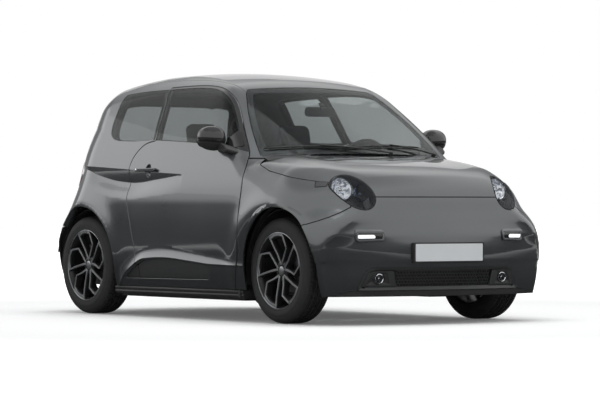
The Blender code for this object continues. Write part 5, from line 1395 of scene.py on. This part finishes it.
def mirrorHousing():
    bpy.ops.object.select_all(action="DESELECT")
    bpy.ops.mesh.primitive_uv_sphere_add(segments=64, ring_count=40, radius=1.0, location=(0, 0, 0))
    made = bpy.context.view_layer.objects.active
    made.name = "mirrorHousing"
    (cx, cy, cz), (hx, hy, hz) = mirror["at"], mirror["half"]
    for vertex in made.data.vertices:
        x, y, z = (math.copysign(abs(c) ** mirror["power"], c) for c in vertex.co)
        groove = 0.03 * math.exp(-((z - mirror["seamZ"]) / 0.045) ** 2)
        x = max(x, mirror["back"]) if x < 0 else x * (1 - 0.16 * abs(z) ** 2)
        reach = (1 - 0.14 * y) * (1 - groove)
        lean = 0.1 * y
        vertex.co = (cx + hx * (x * reach - lean * 0.4), cy + hy * y * (1 - groove * 0.6),
            cz + hz * (z * (1 - 0.1 * y) * (1 - groove) + 0.06 * y))
    made.data.materials.append(blackGloss)
    made.data.materials.append(blackPlastic)
    seamAt = cz + hz * mirror["seamZ"]
    for face in made.data.polygons:
        face.material_index = 1 if face.center.z < seamAt + 0.06 * hz * (face.center.y - cy) / hy else 0
    return settled(made, 40)


mirrorParts = [mirrorHousing()]
cx, cy, cz = mirror["at"]
glassRows = [(math.copysign(abs(math.cos(a)) ** 0.72, math.cos(a)), math.copysign(abs(math.sin(a)) ** 0.72,
    math.sin(a))) for a in np.linspace(0, 2 * math.pi, 49)[:-1]]
backX = cx - mirror["half"][0] * -mirror["back"] * 0.99
mirrorParts.append(withLook(slab("mirrorRim", [(backX + 0.001, cy + 0.0045 + y * 0.059, cz + z * 0.057)
    for y, z in glassRows], (-0.0045, 0, 0), 0.0015, 2), blackPlastic))
mirrorParts.append(withLook(slab("mirrorGlass", [(backX - 0.0036, cy + 0.0045 + y * 0.0545, cz + z * 0.0525)
    for y, z in glassRows], (-0.0012, 0, 0), 0.0003, 1), chrome))
sail = [(0.392, 1.0515), (0.43, 1.03), (0.48, 1.007), (0.56, 1.001), (0.594, 1.008), (0.601, 1.022),
    (0.572, 1.045), (0.52, 1.06), (0.44, 1.07)]
foot = slab("mirrorFoot", [(x, 0.836, z) for x, z in sail], (0, -0.068, 0), 0.01, 4, 50)
for vertex in foot.data.vertices:
    out = (vertex.co.y - 0.768) / 0.068
    vertex.co.x += -0.05 * out * (vertex.co.x - 0.4) / 0.2
    vertex.co.z += 0.022 * out
mirrorParts.append(withLook(foot, blackPlastic))
mirrorMaster = joined("mirrorMaster", mirrorParts)
for way, word in sides:
    fitted(copied(mirrorMaster, f"mirrorOutside_{word}", mirroring[way]), f"door_{word}",
        (f"mirror_{word}",))
dropped(mirrorMaster)
sailFlat = rolled("side", softLoop([(0.44, 1.058, 0.006), (0.6, 1.05, 0.004), (0.56, 1.125, 0.01),
    (0.505, 1.185, 0.01)], 0.006, 0.01))
paired("mirrorSail", "door", "black_gloss", blackGloss, [sailFlat, grown(windowFlat, -0.001)], step=0.014,
    near=-0.0016, deep=0.0002, rim=0.0012)
print("mirrors made")

# wiper arms and blades on the windscreen's foot: pivot (y, z), blade from (y, z) to (y, z)
wiper = {"pairs": (((0.185, 1.013), (-0.64, 1.045), (-0.03, 1.052)),
    ((0.6, 1.01), (-0.12, 1.05), (0.5, 1.06))), "lift": 0.011, "arm": 0.005, "blade": 0.0038}


def overScreen(rows, lift):
    p = onSkin("front", rows)
    return p + outward(p) * lift + np.array([slide, 0, 0])


for number, (pivot, start, end) in enumerate(wiper["pairs"]):
    mix = np.linspace(0, 1, 15)[:, None]
    rise = np.sin(math.pi * mix)
    bladeRows = np.array(start) + (np.array(end) - np.array(start)) * mix + np.array([0, 0.01]) * rise
    blade = withLook(piped(f"blade{number}", overScreen(bladeRows, wiper["lift"] - 0.004), wiper["blade"]),
        blackPlastic)
    lip1 = withLook(piped(f"bladeLip{number}", overScreen(bladeRows - [0, 0.001], 0.003), 0.0016), rubber)
    mid = bladeRows[8]
    armRows = np.array(pivot) + (mid - np.array(pivot)) * mix + np.array([0, 0.006]) * rise
    arm = withLook(piped(f"arm{number}", overScreen(armRows, wiper["lift"] + 0.004), wiper["arm"]),
        blackPlastic)
    base = overScreen([pivot], 0.002)[0]
    knob = withLook(turned(f"pivot{number}", [(0.0, 0.022), (0.008, 0.021), (0.0115, 0.017), (0.013, 0.0),
        (0.013, -0.01)], base, outward(base - np.array([slide, 0, 0])), 32), blackPlastic)
    fitted(joined(f"wiper_{number + 1}", [blade, lip1, arm, knob]), "body")
print("wipers made")

# wheel-arch liners: rolled sheet over each wheel, with a wall inboard at the rear ones
liner = {"out": 0.788, "in": 0.52, "gap": {"front": 0.027, "rear": 0.012}, "more": (-0.019, 0.035),
    "feet": {"front": (0.235, 0.235), "rear": (0.19, 0.4)}}


def linerShell(which, way):
    centre, ahead, behind, tall = archTable[which]
    rows, gap = [], liner["gap"][which]
    aheadFoot, behindFoot = liner["feet"][which]
    aheadMore, behindMore = liner["more"] if which == "front" else (0, 0)
    first, last = math.asin((aheadFoot - hubZ) / ahead), math.pi - math.asin((behindFoot - hubZ) / behind)
    for k in range(37):
        a = first + (last - first) * k / 36
        reach = ahead + aheadMore if math.cos(a) > 0 else behind + behindMore
        rows.append((centre + (reach + gap) * math.cos(a), hubZ + (tall - hubZ + gap) * math.sin(a)))
    points = ([(x + slide, liner["out"] * way, z) for x, z in rows]
        + [(x + slide, (liner["in"] + 0.02) * way, z) for x, z in rows])
    points += [(centre + slide + (x - centre) * 0.3, liner["in"] * way, hubZ + (z - hubZ) * 0.3)
        for x, z in rows]
    count = len(rows)
    quads = [(r * count + i, r * count + i + 1, (r + 1) * count + i + 1, (r + 1) * count + i)
        for r in range(1 if which == "front" else 2) for i in range(count - 1)]
    if which == "front":  # the steered tyre swings through where the wall would be
        points = points[:2 * count]
    return points, quads


for which in ("front", "rear"):
    for way, word in sides:
        points, quads = linerShell(which, way)
        made = outFacing(started(f"archLiner_{which}_{word}", points, [], quads))
        made = worked(made, "SOLIDIFY", 40, thickness=0.003, offset=0)
        fitted(withLook(settled(made, 40), blackPlastic), "body")
print("liners made")

# tail lamps: rings on the skin, red, dark and red again, in a bright bezel
tailRings = {"bezel": (0.0852, 0.08, -0.0018, chrome), "outer": (0.0798, 0.057, -0.0036, redLamp),
    "band": (0.0568, 0.0545, -0.0022, lampSatin), "middle": (0.0543, 0.0335, 0.001, lampDark),
    "centre": (0.0333, None, -0.003, redLamp)}
for way, word in sides:
    for ring, (outer, inner, near, look) in tailRings.items():
        made = panel(f"tail{ring.title()}_{word}", around, [aroundBack(tailCircle(outer))],
            [aroundBack(tailCircle(inner))] if inner else [], step=0.006, near=near, deep=0.012,
            rim=0.0012, side=way)
        claims = (f"tail_lamp_{word}",) if ring == "bezel" else ()
        dress(made, "body", look, claims)
rearBits = {"gateGrip": (gateFan, 0.165, 0.655, 0.672, -0.003, blackGloss, "tailgate", "black_gloss"),
    "rearSkirt": (around, 0.56, 0.214, 0.318, -0.0016, darkInsert, "body", "black_plastic")}
for name, (plane, half, low, high, near, look, rider, slotName) in rearBits.items():
    loop = onSkin("rear",
        softLoop([(half, low, 0.006), (half * 0.97, high, 0.006), (-half * 0.97, high, 0.006),
        (-half, low, 0.006)], 0.006, 0.012))
    dress(panel(name, plane, [plane[1](loop) if plane is gateFan else aroundBack(loop)], step=0.014,
        near=near, deep=0.01, rim=0.0015), rider, look)
for way, word in sides:
    loop = rolled("rear", softLoop([(0.5, 0.352, 0.004), (0.5, 0.374, 0.004), (0.61, 0.378, 0.004),
        (0.61, 0.356, 0.004)], 0.004, 0.008))
    dress(panel(f"rearReflector_{word}", around, [loop], step=0.01, near=-0.002, deep=0.006, rim=0.0012,
        side=way), "body", redLamp)
dress(panel("gateSeal", gateFan, [grown(gateZone, 0.02)], [grown(gateZone, -0.005)], step=0.02, near=0.02,
    deep=0.026), "body", rubber)
print("rear lamps made")

# stuffed pieces: eased block, remeshed, blown up as cloth, then sewn
pads = {"voxel": 0.008, "pressure": 4.0, "frames": 20}


def stuffed(name, size, corner, bevel, cap, shape, sew, matrix, refine=True):
    made = slab(name, [(x, y, -size[2] / 2) for x, y in rounded(size[0], size[1], corner, 6)],
        (0, 0, size[2]), bevel, 4, 60)
    made = worked(made, "REMESH", 60, mode="VOXEL", voxel_size=pads["voxel"], use_smooth_shade=True)
    rest = np.array([v.co for v in made.data.vertices])
    rest = shape(rest)
    made.data.vertices.foreach_set("co", rest.ravel())
    made.data.update()
    pick(made)
    step = made.modifiers.new("Cloth", "CLOTH")
    step.settings.use_pressure, step.settings.uniform_pressure_force = True, pads["pressure"]
    step.settings.effector_weights.gravity = 0
    step.settings.quality = 4
    step.point_cache.frame_start, step.point_cache.frame_end = 1, pads["frames"]
    for tick in range(1, pads["frames"] + 1):
        bpy.context.scene.frame_set(tick)
    blown = made.evaluated_get(bpy.context.evaluated_depsgraph_get()).data
    moved = np.array([v.co for v in blown.vertices]) - rest
    far = np.linalg.norm(moved, axis=1)[:, None]
    rest = rest + moved * np.minimum(1, cap / np.maximum(far, 1e-9))
    made.modifiers.remove(step)
    bpy.context.scene.frame_set(1)
    made.data.vertices.foreach_set("co", rest.ravel())
    made.data.update()
    if refine:
        made = worked(made, "SUBSURF", 60, levels=1, render_levels=1)
    points = np.array([v.co for v in made.data.vertices])
    normals = np.array([v.normal for v in made.data.vertices])
    made.data.vertices.foreach_set("co", (points - normals * sew(points)[:, None]).ravel())
    made.data.transform(matrix)
    made.data.update()
    pick(made)
    bpy.ops.object.shade_smooth()
    return withLook(made, cloth)


def groove(distance, deep, wide):
    return deep * np.exp(-(distance / wide) ** 2)


def cushionShape(p):
    q = p.copy()
    q[:, 2] += np.where(p[:, 2] > 0, 1, 0.2) * (0.016 * ease((np.abs(p[:, 1]) - 0.12) / 0.06)
        - 0.01 * ease((0.02 - p[:, 0]) / 0.2))
    return q


def cushionSew(p):
    seams = np.minimum(np.abs(np.abs(p[:, 1]) - 0.135), 9) + np.where(p[:, 2] > 0.0, 0, 9)
    channels = np.min([np.abs(p[:, 0] - at) for at in (-0.13, -0.065, 0.0, 0.065, 0.13)], 0)
    channels = channels + np.where((p[:, 2] > 0.0) & (np.abs(p[:, 1]) < 0.135), 0, 9)
    return groove(seams, 0.009, 0.007) + groove(channels, 0.006, 0.008)


# backs and heads are made lying down: x runs up the back, z points forward
def backShape(p):
    q = p.copy()
    up = ease((p[:, 0] - 0.05) / 0.24)
    q[:, 1] *= 1 - 0.2 * up
    ahead = np.where(p[:, 2] > 0, 1, 0)
    q[:, 2] += (ahead * 0.018 * ease((np.abs(q[:, 1]) - 0.11) / 0.06) * (1 - up) - 0.01 * ahead
        * ease((np.abs(p[:, 0]) - 0.1) / 0.2))
    return q


def backSew(p):
    seams = np.abs(np.abs(p[:, 1]) - 0.125) + np.where(p[:, 2] > 0.0, 0, 9)
    channels = np.min([np.abs(p[:, 0] - at) for at in (-0.19, -0.12, -0.05, 0.02, 0.09, 0.16, 0.23)], 0)
    channels = channels + np.where((p[:, 2] > 0.0) & (np.abs(p[:, 1]) < 0.125), 0, 9)
    return groove(seams, 0.009, 0.007) + groove(channels, 0.006, 0.008)


def plainShape(p):
    return p


def benchSew(p):
    split = np.abs(p[:, 1]) + np.where(p[:, 2] > -0.01, 0, 9)
    seams = np.min([np.abs(np.abs(p[:, 1]) - at) for at in (0.09, 0.4)], 0) + np.where(p[:, 2] > 0.0, 0, 9)
    return groove(split, 0.014, 0.01) + groove(seams, 0.007, 0.009)


def edgeSew(p):
    return groove(np.abs(p[:, 2] + 0.004), 0.003, 0.006)


backTurn = Matrix.Translation((-0.27, 0, 0.48)) @ Matrix.Rotation(math.radians(-14), 4, "Y")
benchTurn = Matrix.Translation((-0.88, 0, 0.47)) @ Matrix.Rotation(math.radians(-16), 4, "Y")
standing = Matrix(((0, 0, 1, 0), (0, -1, 0, 0), (1, 0, 0, 0), (0, 0, 0, 1)))
seatCushion = stuffed("seatCushion", (0.455, 0.43, 0.105), 0.05, 0.03, 0.024, cushionShape, cushionSew,
    Matrix.Translation((-0.055, 0, 0.487)))
seatBack = stuffed("seatBack", (0.565, 0.41, 0.085), 0.06, 0.026, 0.024, backShape, backSew,
    backTurn @ Matrix.Translation((0, 0, 0.3)) @ standing)
seatHead = stuffed("seatHead", (0.142, 0.225, 0.06), 0.042, 0.022, 0.014, plainShape, edgeSew,
    backTurn @ Matrix.Translation((0, 0, 0.692)) @ standing)
for way, word in sides:
    seatY = 0.36 * way
    there = Matrix.Translation((0, seatY, 0))
    for master, fill in ((seatCushion, 0.8), (seatBack, 0.8), (seatHead, 0.9)):
        made = copied(master, f"{master.name}_{word}", there)
        fitted(made, "body", (f"seat_{word}",) if master is seatCushion else ())
    shell = []
    for edge in (1, -1):
        cheek = [(-0.275, 0.392), (-0.275, 0.44), (-0.2, 0.452), (0.12, 0.44), (0.15, 0.42), (0.11, 0.385),
            (-0.22, 0.372)]
        shell.append(withLook(slab("seatSide", [(x, seatY + edge * 0.232, z) for x, z in cheek],
            (0, -0.02 * edge, 0), 0.004, 2), cabinPlastic))
        shell.append(withLook(slab("seatRail", [(-0.24, seatY + edge * 0.18 + y, z)
            for y, z in ((-0.016, 0.3015), (0.016, 0.3015), (0.012, 0.326), (-0.012, 0.326))], (0.4, 0, 0),
            0.002, 2), steel))
        for at in (-0.18, 0.1):
            shell.append(withLook(slab("seatFoot", [(at + x, seatY + edge * 0.18 - 0.006, z)
                for x, z in ((-0.03, 0.322), (0.03, 0.322), (0.02, 0.42), (-0.02, 0.42))], (0, 0.012, 0),
                0.002, 2), cabinPlastic))
        post = [backTurn @ Vector((0.0, seatY + edge * 0.05, z)) for z in (0.54, 0.58, 0.64)]
        shell.append(withLook(piped("headPost", post, 0.006), steel))
    shell.append(withLook(slab("seatPan", [(x - 0.05, seatY + y, 0.4) for x, y in rounded(0.42, 0.4, 0.04)],
        (0, 0, 0.03), 0.006, 2), cabinPlastic))
    panelBack = slab("seatPanel", [(-0.052, seatY + y, 0.3 + x) for x, y in rounded(0.5, 0.36, 0.05)],
        (-0.01, 0, 0), 0.004, 2)
    panelBack.data.transform(backTurn)
    shell.append(withLook(panelBack, cabinPlastic))
    fitted(joined(f"seatFrame_{word}", shell), "body")
dropped(seatCushion, seatBack, seatHead)
benchAt = Matrix.Translation((-0.72, 0, 0.452))
benchBackAt = benchTurn @ Matrix.Translation((0, 0, 0.245)) @ standing
benchCushion = stuffed("benchCushion", (0.335, 1.0, 0.07), 0.05, 0.022, 0.022, plainShape, benchSew, benchAt,
    refine=False)
benchBack = stuffed("benchBack", (0.52, 1.0, 0.065), 0.06, 0.022, 0.022, plainShape, benchSew, benchBackAt,
    refine=False)
for made, claim in ((benchCushion, ("rear_bench",)), (benchBack, ())):
    fitted(made, "body", claim)
print("seats made")

# dashboard, wheel, cabin mirror and linings
dash = {"half": 0.64, "skin": [(0.6175, 0.93), (0.6175, 0.645), (0.505, 0.604), (0.452, 0.64), (0.436, 0.7),
    (0.452, 0.79), (0.428, 0.83), (0.424, 0.88), (0.446, 0.93), (0.474, 0.952), (0.56, 0.968), (0.695, 0.96),
    (0.695, 0.938)]}
pieces = [withLook(slab("dashBody", [(x, -dash["half"], z) for x, z in dash["skin"]],
    (0, 2 * dash["half"], 0), 0.008, 3, 60), cabinPlastic)]
hood = [(0.43, 0.36 + 0.15 * math.cos(a), 0.93 + 0.062 * math.sin(a)) for a in np.linspace(0, math.pi, 21)]
pieces.append(withLook(slab("dashHood", hood, (0.15, 0, 0.012), 0.006, 3, 50), cabinPlastic))
pieces.append(withLook(slab("dashScreen", [(0.4285, 0.36 + y, 0.945 + z) for y, z in rounded(0.215, 0.052,
    0.01)], (0.004, 0, 0.001), 0.001, 1), blackGloss))
pieces.append(withLook(slab("midScreen", [(0.415, y, 0.905 + z) for y, z in rounded(0.24, 0.13, 0.012)],
    (0.014, 0, 0), 0.003, 2), blackGloss))
for y in (-0.56, -0.175, 0.175, 0.56):
    ventLine = [(0.4205, y + a, 0.868 + b) for a, b in rounded(0.105, 0.052, 0.01)]
    pieces.append(withLook(slab("ventFrame", ventLine, (0.008, 0, 0), 0.002, 2), blackGloss))
    for k in range(4):
        pieces.append(withLook(slab("ventBlade", [(0.419, y + a, 0.8515 + 0.011 * k + b)
            for a, b in rounded(0.088, 0.0026, 0.001, 2)], (0.004, 0, 0), 0.0), steel))
fitted(joined("dashSkin", pieces), "body", ("dashboard",))
axis = Vector((-math.cos(math.radians(25)), 0, math.sin(math.radians(25))))
centre = Vector((0.285, 0.36, 0.945))
across = Vector((0, 1, 0))
upWay = across.cross(axis).normalized()
ring = [(0.178 + 0.0155 * math.cos(a), 0.015 * math.sin(a)) for a in np.linspace(0, 2 * math.pi, 17)[:-1]]
pieces = [withLook(turned("wheelRing", ring, centre, axis, 72, closed=True), cabinPlastic)]
pieces.append(withLook(turned("wheelBoss", [(0.0, 0.004), (0.04, 0.002), (0.056, -0.006), (0.06, -0.02),
    (0.05, -0.034), (0.0, -0.036)], centre, axis, 48), cabinPlastic))
for angle in (0, 180, 270):
    way = across * math.cos(math.radians(angle)) + upWay * math.sin(math.radians(angle))
    cross = axis.cross(way)
    spoke = [centre + way * r + cross * w for r, w in ((0.045, 0.022), (0.11, 0.014), (0.172, 0.02),
        (0.172, -0.02), (0.11, -0.014), (0.045, -0.022))]
    pieces.append(withLook(slab("wheelSpoke", [p - axis * 0.004 for p in spoke], -axis * 0.012, 0.003, 2),
        alloyDark))
pieces.append(withLook(piped("wheelColumn", [centre - axis * d for d in (0.03, 0.06, 0.13, 0.235)], 0.03),
    cabinPlastic))
fitted(joined("steeringRing", pieces), "steering_wheel", ("steering_wheel",))
padAt = onSkin("front", [(0.0, 1.34)])
padWay = Vector(outward(padAt)[0])
padAt = Vector(padAt[0]) + Vector((slide, 0, 0)) - padWay * 0.013
tilt = Matrix.Translation((0.35, 0, 1.285)) @ Matrix.Rotation(math.radians(8), 4, "Y")
face = slab("mirrorCase", [(-0.008, y, z) for y, z in rounded(0.224, 0.06, 0.024)], (0.017, 0, 0), 0.004, 3)
shine = slab("mirrorShine", [(-0.0098, y, z) for y, z in rounded(0.212, 0.05, 0.02)],
    (0.002, 0, 0), 0.0004, 1)
for made in (face, shine):
    made.data.transform(tilt)
pieces = [withLook(face, blackPlastic), withLook(shine, chrome),
    withLook(piped("mirrorStem", [(0.358, 0, 1.296), tuple((Vector((0.358, 0, 1.296)) + padAt) / 2),
    tuple(padAt)], 0.008), blackPlastic),
    withLook(turned("mirrorPad", [(0.0, 0.0), (0.02, 0.0), (0.017, -0.006), (0.0, -0.008)],
    padAt + padWay * 0.002, padWay, 32), blackPlastic)]
fitted(joined("cabinMirror", pieces), "body", ("cabin_mirror",))
dress(panel("headLining", roofFan, [grown(roofZone, -0.03)], [grown(roofFan[1](screenSkin), 0.02)], step=0.03,
    near=0.028, deep=0.032), "body", lining)
print("cabin made")

# finishes of the solids that still show
slots = {"seat": cloth, "rear_bench": cloth, "dashboard": cabinPlastic, "steering": cabinPlastic,
    "cabin_mirror": cabinPlastic, "battery": batteryCase, "drive": underSteel, "knuckle": underSteel,
    "rear_axle": underSteel, "front_subframe": underSteel, "wheel": alloyBright, "tyre": rubber,
    "floor": blackPlastic, "cowl": blackPlastic, "front_grille": blackPlastic, "mirror": blackGloss,
    "headlamp": lampGlass, "tail_lamp": redLamp}
for name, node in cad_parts.items():
    for start, look in slots.items():
        if name.startswith(start):
            for place in node.material_slots:
                place.material = look

# floor, light and camera
stageLook = {"floorGlow": 0.1, "whiteFrom": 3.2, "whiteBy": 7.0, "worldLight": 0.62}


def staged(name, points, faces):
    made = added(name, meshOf(name, points, [], faces))
    return made


def sheet(name, reach, height):
    return staged(name, [(x * reach, y * reach, height) for x, y in ((-1, -1), (1, -1), (1, 1), (-1, 1))],
        [(0, 1, 2, 3)])


# 0 to 1 between two values of a place's distance from the middle, or of its height
def fade(tree, measure, output, low, high):
    place, span = shaderNodes(tree, "TexCoord", "MapRange")
    span.interpolation_type = "SMOOTHSTEP"
    setInputs(span, From_Min=low, From_Max=high)
    joinUp(tree, (place, "Object", measure, 0), (measure, output, span, "Value"))
    return span


# 1 for rays from the camera, and for those that gloss or glass passes on
def seenRays(tree):
    rays, first, second = shaderNodes(tree, "LightPath", "Math", "Math")
    first.operation = second.operation = "MAXIMUM"
    joinUp(tree, (rays, "Is Camera Ray", first, 0), (rays, "Is Glossy Ray", first, 1), (first, 0, second, 0),
        (rays, "Is Transmission Ray", second, 1))
    return second


# pale paper that glows white away from the car, so that it meets the backdrop unseen and keeps the shadow
floorPaper = finish("floorPaper", (0.93, 0.93, 0.93), (0.95, 0.95, 0.95), (0.85, 0.95))
tree = floorPaper.node_tree
shader = tree.nodes["Principled BSDF"]
setInputs(shader, Specular_IOR_Level=0.1)
glow, blend, distance, share = shaderNodes(tree, "Emission", "AddShader", "VectorMath", "Math")
distance.operation, share.operation = "LENGTH", "MULTIPLY"
span = fade(tree, distance, "Value", stageLook["whiteFrom"], stageLook["whiteBy"])
setInputs(span, To_Min=stageLook["floorGlow"], To_Max=1.0)
joinUp(tree, (seenRays(tree), 0, share, 0), (span, "Result", share, 1), (share, 0, glow, "Strength"),
    (shader, 0, blend, 0), (glow, 0, blend, 1), (blend, 0, tree.nodes["Material Output"], "Surface"))
sheet("floor", 60, 0).data.materials.append(floorPaper)


# a dark sheet that glossy surfaces alone see, fading out between two distances or two heights
def darkened(made, dark, kind, output, solidTo, fadeBy):
    look = bpy.data.materials.new(made.name)
    look.use_nodes = True
    tree = look.node_tree
    tree.nodes.remove(tree.nodes["Principled BSDF"])
    glow, clear, blend, measure = shaderNodes(tree, "Emission", "BsdfTransparent", "MixShader", kind)
    setInputs(glow, Color=(dark, dark, dark * 1.03, 1))
    if kind == "VectorMath":
        measure.operation = "LENGTH"
    span = fade(tree, measure, output, solidTo, fadeBy)
    joinUp(tree, (span, "Result", blend, "Fac"), (glow, 0, blend, 1), (clear, 0, blend, 2),
        (blend, 0, tree.nodes["Material Output"], "Surface"))
    made.data.materials.append(look)
    made.visible_camera = made.visible_diffuse = made.visible_shadow = made.visible_transmission = False


# studio cards: one under the car's flanks and one over its roof
cards = {"groundCard": {"reach": 9, "height": 0.004, "dark": 0.045, "solidTo": 6.0, "fadeBy": 9.0},
    "ceilingCard": {"reach": 4, "height": 5.2, "dark": 0.4, "solidTo": 2.0, "fadeBy": 4.0}}
for name, card in cards.items():
    darkened(sheet(name, card["reach"], card["height"]), card["dark"], "VectorMath", "Value",
        math.hypot(card["solidTo"], card["height"]), math.hypot(card["fadeBy"], card["height"]))

# studio walls: a low one all round for the flanks' lower half,
# and a tall grey one beyond the car for bonnet and roof
walls = {"wallCard": {"radius": 8.6, "solidTo": 1.1, "fadeBy": 1.55, "dark": 0.045, "from": -180, "to": 180},
    "backCard": {"radius": 8.4, "solidTo": 4.0, "fadeBy": 7.5, "dark": 0.24, "from": 98, "to": 192}}
for name, wall in walls.items():
    turns = np.radians(np.linspace(wall["from"], wall["to"], 65))
    rows = [(wall["radius"] * math.cos(a), wall["radius"] * math.sin(a)) for a in turns]
    made = staged(name, [(x, y, z) for z in (0.0, wall["fadeBy"]) for x, y in rows],
        [(k, k + 1, 66 + k, 65 + k) for k in range(64)])
    darkened(made, wall["dark"], "SeparateXYZ", "Z", wall["solidTo"], wall["fadeBy"])

world = bpy.data.worlds.new("studio")
bpy.context.scene.world = world
world.use_nodes = True
tree = world.node_tree
backdrop, light, blend = shaderNodes(tree, "Background", "Background", "MixShader")
setInputs(backdrop, Color=(1, 1, 1, 1))
setInputs(light, Color=(0.98, 0.99, 1, 1), Strength=stageLook["worldLight"])
joinUp(tree, (seenRays(tree), 0, blend, "Fac"), (light, 0, blend, 1), (backdrop, 0, blend, 2),
    (blend, 0, tree.nodes["World Output"], "Surface"))

# place, aim, width, height, power: two soft boxes behind the car's shoulders and a soft one overhead
lamps = {"rightBox": ((-6.6, -3.8, 2.9), (0, -0.4, 0.7), 5.5, 2.6, 25), "leftBox": ((-6.6, 3.8, 2.9),
    (0, 0.4, 0.7), 5.5, 2.6, 25), "overhead": ((0.8, 0.0, 6.5), (0, 0, 0.5), 4.5, 4.5, 230)}
for name, (place, aim, wide, tall, power) in lamps.items():
    data = bpy.data.lights.new(name, "AREA")
    data.shape, data.size, data.size_y, data.energy = "RECTANGLE", wide, tall, power
    made = added(name, data)
    made.location = place
    made.rotation_euler = (Vector(aim) - Vector(place)).to_track_quat("-Z", "Y").to_euler()

shot = bpy.data.cameras.new("camera")
shot.lens, shot.sensor_width = 189.0, 36
shotObject = added("camera", shot)
shotObject.location = (16.416457, -11.4168358, 0.7069096)
shotObject.rotation_euler = (math.pi / 2 + 0.00148121, 0, 0.959241302)
shot.clip_end = 200
bpy.context.scene.camera = shotObject
bpy.context.scene.view_settings.view_transform = "Standard"

bpy.context.view_layer.update()
